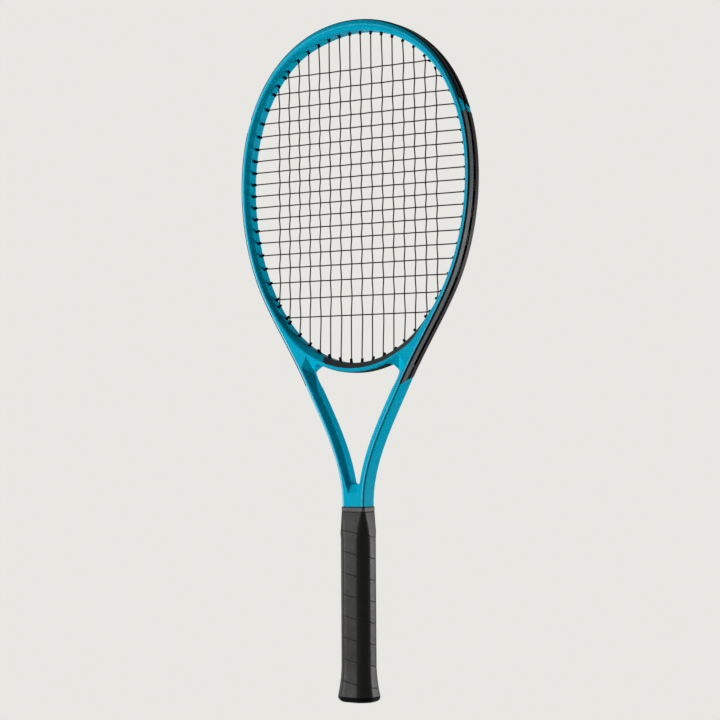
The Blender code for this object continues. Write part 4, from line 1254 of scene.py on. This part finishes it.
def build_grip():
    rings = []
    for place, low, high in grip_edges():
        edge = min(GRIP_EDGE, (high - low) * GRIP_EDGE_MOST)
        heights = [(low + edge * row, row) for row in GRIP_EDGE_ROWS]
        heights += [(mix(low + edge, high - edge, share), 1.0) for share in QUARTERS]
        heights += [(high - edge * row, row) for row in reversed(GRIP_EDGE_ROWS)]
        ring = []
        for z, row in heights:
            drop = GRIP_EDGE_DEPTH * (1 - math.sqrt(1 - (1 - row) ** 2))
            ring.append((*grip_outline(z, drop)[place], z))
        for z in (high, low):
            inside = soft_outline(handle_outline(z, CLEARANCE / 3), GRIP_CORNER)
            ring.append((*inside[place], z))
        rings.append(ring)
    bm = bmesh.new()
    loft(bm, rings)
    new_piece("grip_wrap_wound", bm, "grip_wrap", LEATHER)


def build_collar():
    low = HANDLE_TOP_Z + CLEARANCE / 2
    high = low + COLLAR_HEIGHT
    line = high - COLLAR_SHADE_LINE
    inside, outside = COLLAR_CLEARANCE, COLLAR_CLEARANCE + COLLAR_WALL
    turn, nip = COLLAR_ROUND, COLLAR_NIP
    profile = [
        (inside, low), (outside - turn, low), (outside - nip, low + nip), (outside, low + turn),
        (outside, line - turn), (outside - turn, line), (outside - turn, high - nip),
        (outside - turn - nip, high), (inside, high),
    ]
    bm = bmesh.new()
    loops = []
    for offset, z in profile:
        outline = octagon(SHAFT_WIDTH, FRAME_THICKNESS, OUTER_EDGE, offset)
        loops.append(vertices(bm, at_height(soft_outline(outline, COLLAR_CORNER), z)))
    ring_faces(bm, loops[:5])
    # The band above the line is black nylon, a painted shadow line between the collar and the teal shaft.
    ring_faces(bm, loops[4:] + loops[:1], [1] * len(loops[0]))
    new_piece("grip_collar_ring", bm, "grip_collar", [RUBBER, BLACK], "collar")


def door_ring(grow, z):
    """The outline of the door's plug at a height, grown on all sides."""
    x, y = DOOR_WIDTH / 2 + grow, DOOR_DEPTH / 2 + grow
    return at_height(soft_outline([(x, -y), (x, y), (-x, y), (-x, -y)], DOOR_CORNER), z)


def cap_ring(offset, z, form_z):
    """A ring of the cap at a height, with the handle's form at form_z grown by offset."""
    return at_height(soft_outline(handle_outline(form_z, offset), CAP_CORNER), z)


def cut_opening(piece, bm):
    """Cuts the solid in bm out of a piece."""
    bmesh.ops.recalc_face_normals(bm, faces=bm.faces)
    tool = linked("door_opening", mesh_of("door_opening", bm))
    cut = piece.modifiers.new("door opening", "BOOLEAN")
    cut.operation = "DIFFERENCE"
    cut.solver = "EXACT"
    cut.use_self = True
    cut.object = tool
    bpy.context.view_layer.update()
    graph = bpy.context.evaluated_depsgraph_get()
    done = bpy.data.meshes.new_from_object(piece.evaluated_get(graph))
    piece.modifiers.clear()
    piece.data = done
    bpy.data.objects.remove(tool, do_unlink=True)


def build_butt_cap():
    grip_out = CLEARANCE + GRIP_THICKNESS
    rings = []
    for turn in span(0.0, math.pi / 2, RIM_STEPS):
        inset, rise = RIM_ROUND * (1 - math.sin(turn)), RIM_ROUND * (1 - math.cos(turn))
        rings.append(cap_ring(grip_out - inset, rise, RIM_HEIGHT))
    rings.append(cap_ring(grip_out, RIM_HEIGHT, RIM_HEIGHT))
    rings += [cap_ring(0.0, z, z) for z in span(RIM_HEIGHT, CAP_HEIGHT, CAP_STEPS)]
    rings += [cap_ring(-CAP_WALL, z, CAP_HEIGHT) for z in (CAP_HEIGHT, CAP_FLOOR)]
    bm = bmesh.new()
    loft(bm, rings)
    cap = new_piece("butt_cap_moulding", bm, "butt_cap", BLACK, weighted=False)
    opening = bmesh.new()
    for grow, low, high in (
        (DOOR_LIP + CLEARANCE, -CAP_FLOOR, 2 * CLEARANCE + DOOR_PLATE), (CLEARANCE, 0.0, 2 * CAP_FLOOR),
    ):
        loft(opening, [door_ring(grow, low), door_ring(grow, high)])
    cut_opening(cap, opening)
    even_shading(cap)


def build_door():
    shoulder = CLEARANCE + DOOR_PLATE
    rings = [door_ring(DOOR_LIP - inset, CLEARANCE + rise) for inset, rise in DOOR_RIM]
    rings += [door_ring(DOOR_LIP, shoulder), door_ring(0.0, shoulder)]
    rings.append(door_ring(0.0, DOOR_PLUG_HEIGHT - DOOR_PLUG_EDGE))
    rings.append(door_ring(-DOOR_PLUG_EDGE, DOOR_PLUG_HEIGHT))
    bm = bmesh.new()
    loft(bm, rings)
    new_piece("butt_cap_door_moulding", bm, "butt_cap_door", BLACK, "door")


def dress_hidden():
    """Materials for the CAD pieces that stay inside the handle."""
    finishes = {
        "handle_pallet_front": FOAM, "handle_pallet_back": FOAM, "foam_plug_left": FOAM,
        "foam_plug_right": FOAM, "butt_cap_staple_left": STEEL, "butt_cap_staple_right": STEEL,
    }
    for node, finish in finishes.items():
        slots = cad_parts[node].data.materials
        slots.clear()
        slots.append(finish)


# Studio
def seen_rays(tree, usual, shown):
    """One shader for the camera and for reflections, and the usual one for light."""
    rays = tree.nodes.new("ShaderNodeLightPath")
    seen = rays.outputs["Is Camera Ray"]
    for name in ("Is Glossy Ray", "Is Transmission Ray"):
        inputs = {0: seen, 1: rays.outputs[name]}
        seen = add_node(tree, "ShaderNodeMath", "Value", inputs, operation="MAXIMUM")
    return add_node(tree, "ShaderNodeMixShader", "Shader", {"Fac": seen, 1: usual, 2: shown})


def build_floor():
    bm = bmesh.new()
    bmesh.ops.create_circle(bm, cap_ends=True, segments=64, radius=FLOOR_RADIUS)
    floor = linked("floor", mesh_of("floor", bm))
    floor.location.z = -FLOOR_DROP
    material = bpy.data.materials.new("pale floor")
    material.use_nodes = True
    tree = material.node_tree
    shader = tree.nodes["Principled BSDF"]
    feed(shader, {"Base Color": BACKGROUND, "Roughness": 0.9})
    glow = add_node(tree, "ShaderNodeEmission", "Emission", {"Color": BACKGROUND})
    feed(tree.nodes["Material Output"], {"Surface": seen_rays(tree, shader.outputs["BSDF"], glow)})
    floor.data.materials.append(material)


def build_world():
    world = bpy.data.worlds.new("studio")
    bpy.context.scene.world = world
    world.use_nodes = True
    tree = world.node_tree
    dim = tree.nodes["Background"]
    feed(dim, {"Color": FILL_COLOUR, "Strength": FILL_STRENGTH})
    shown = add_node(tree, "ShaderNodeBackground", "Background", {"Color": BACKGROUND})
    feed(tree.nodes["World Output"], {"Surface": seen_rays(tree, dim.outputs["Background"], shown)})


def softbox(name, way, distance, width, height, power):
    """A large soft lamp that faces the middle of the racket."""
    lamp = bpy.data.lights.new(name, "AREA")
    lamp.shape = "RECTANGLE"
    lamp.size, lamp.size_y = width, height
    lamp.energy = power
    holder = linked(name, lamp)
    holder.location = Vector((0.0, 0.0, LAMP_TARGET_Z)) + Vector(way).normalized() * distance
    holder.rotation_euler = Vector(way).to_track_quat("Z", "Y").to_euler()


def build_camera():
    lens = bpy.data.cameras.new("camera")
    lens.lens = LENS
    lens.sensor_width = SENSOR
    camera = linked("camera", lens)
    sine, cosine = math.sin(CAMERA_AZIMUTH), math.cos(CAMERA_AZIMUTH)
    flat, rise = math.cos(CAMERA_PITCH), math.sin(CAMERA_PITCH)
    forward = Vector((-sine * flat, cosine * flat, rise))
    level_right = Vector((cosine, sine, 0.0))
    level_up = level_right.cross(forward)
    right = level_right * math.cos(CAMERA_ROLL) + level_up * math.sin(CAMERA_ROLL)
    up = level_up * math.cos(CAMERA_ROLL) - level_right * math.sin(CAMERA_ROLL)
    turn = Matrix((right, up, -forward)).transposed().to_4x4()
    camera.matrix_world = Matrix.Translation(CAMERA_PLACE) @ turn
    bpy.context.scene.camera = camera


build_frame()
build_strips()
build_string("main_string", MAINS, MAIN_Y, 1, cross_heights(), 1)
build_string("cross_string", CROSSES, CROSS_Y, 0, [low.mouth.x for low, _ in MAINS], -1)
build_grip()
build_collar()
build_butt_cap()
build_door()
dress_hidden()
build_floor()
build_world()
softbox("left softbox", (-0.73, -0.68, -0.08), 1.8, 0.8, 1.1, 47.5)
softbox("right softbox", (0.70, 0.71, -0.27), 1.5, 0.6, 1.0, 32.0)
build_camera()
bpy.context.scene.view_settings.view_transform = "Standard"

bpy.context.view_layer.update()
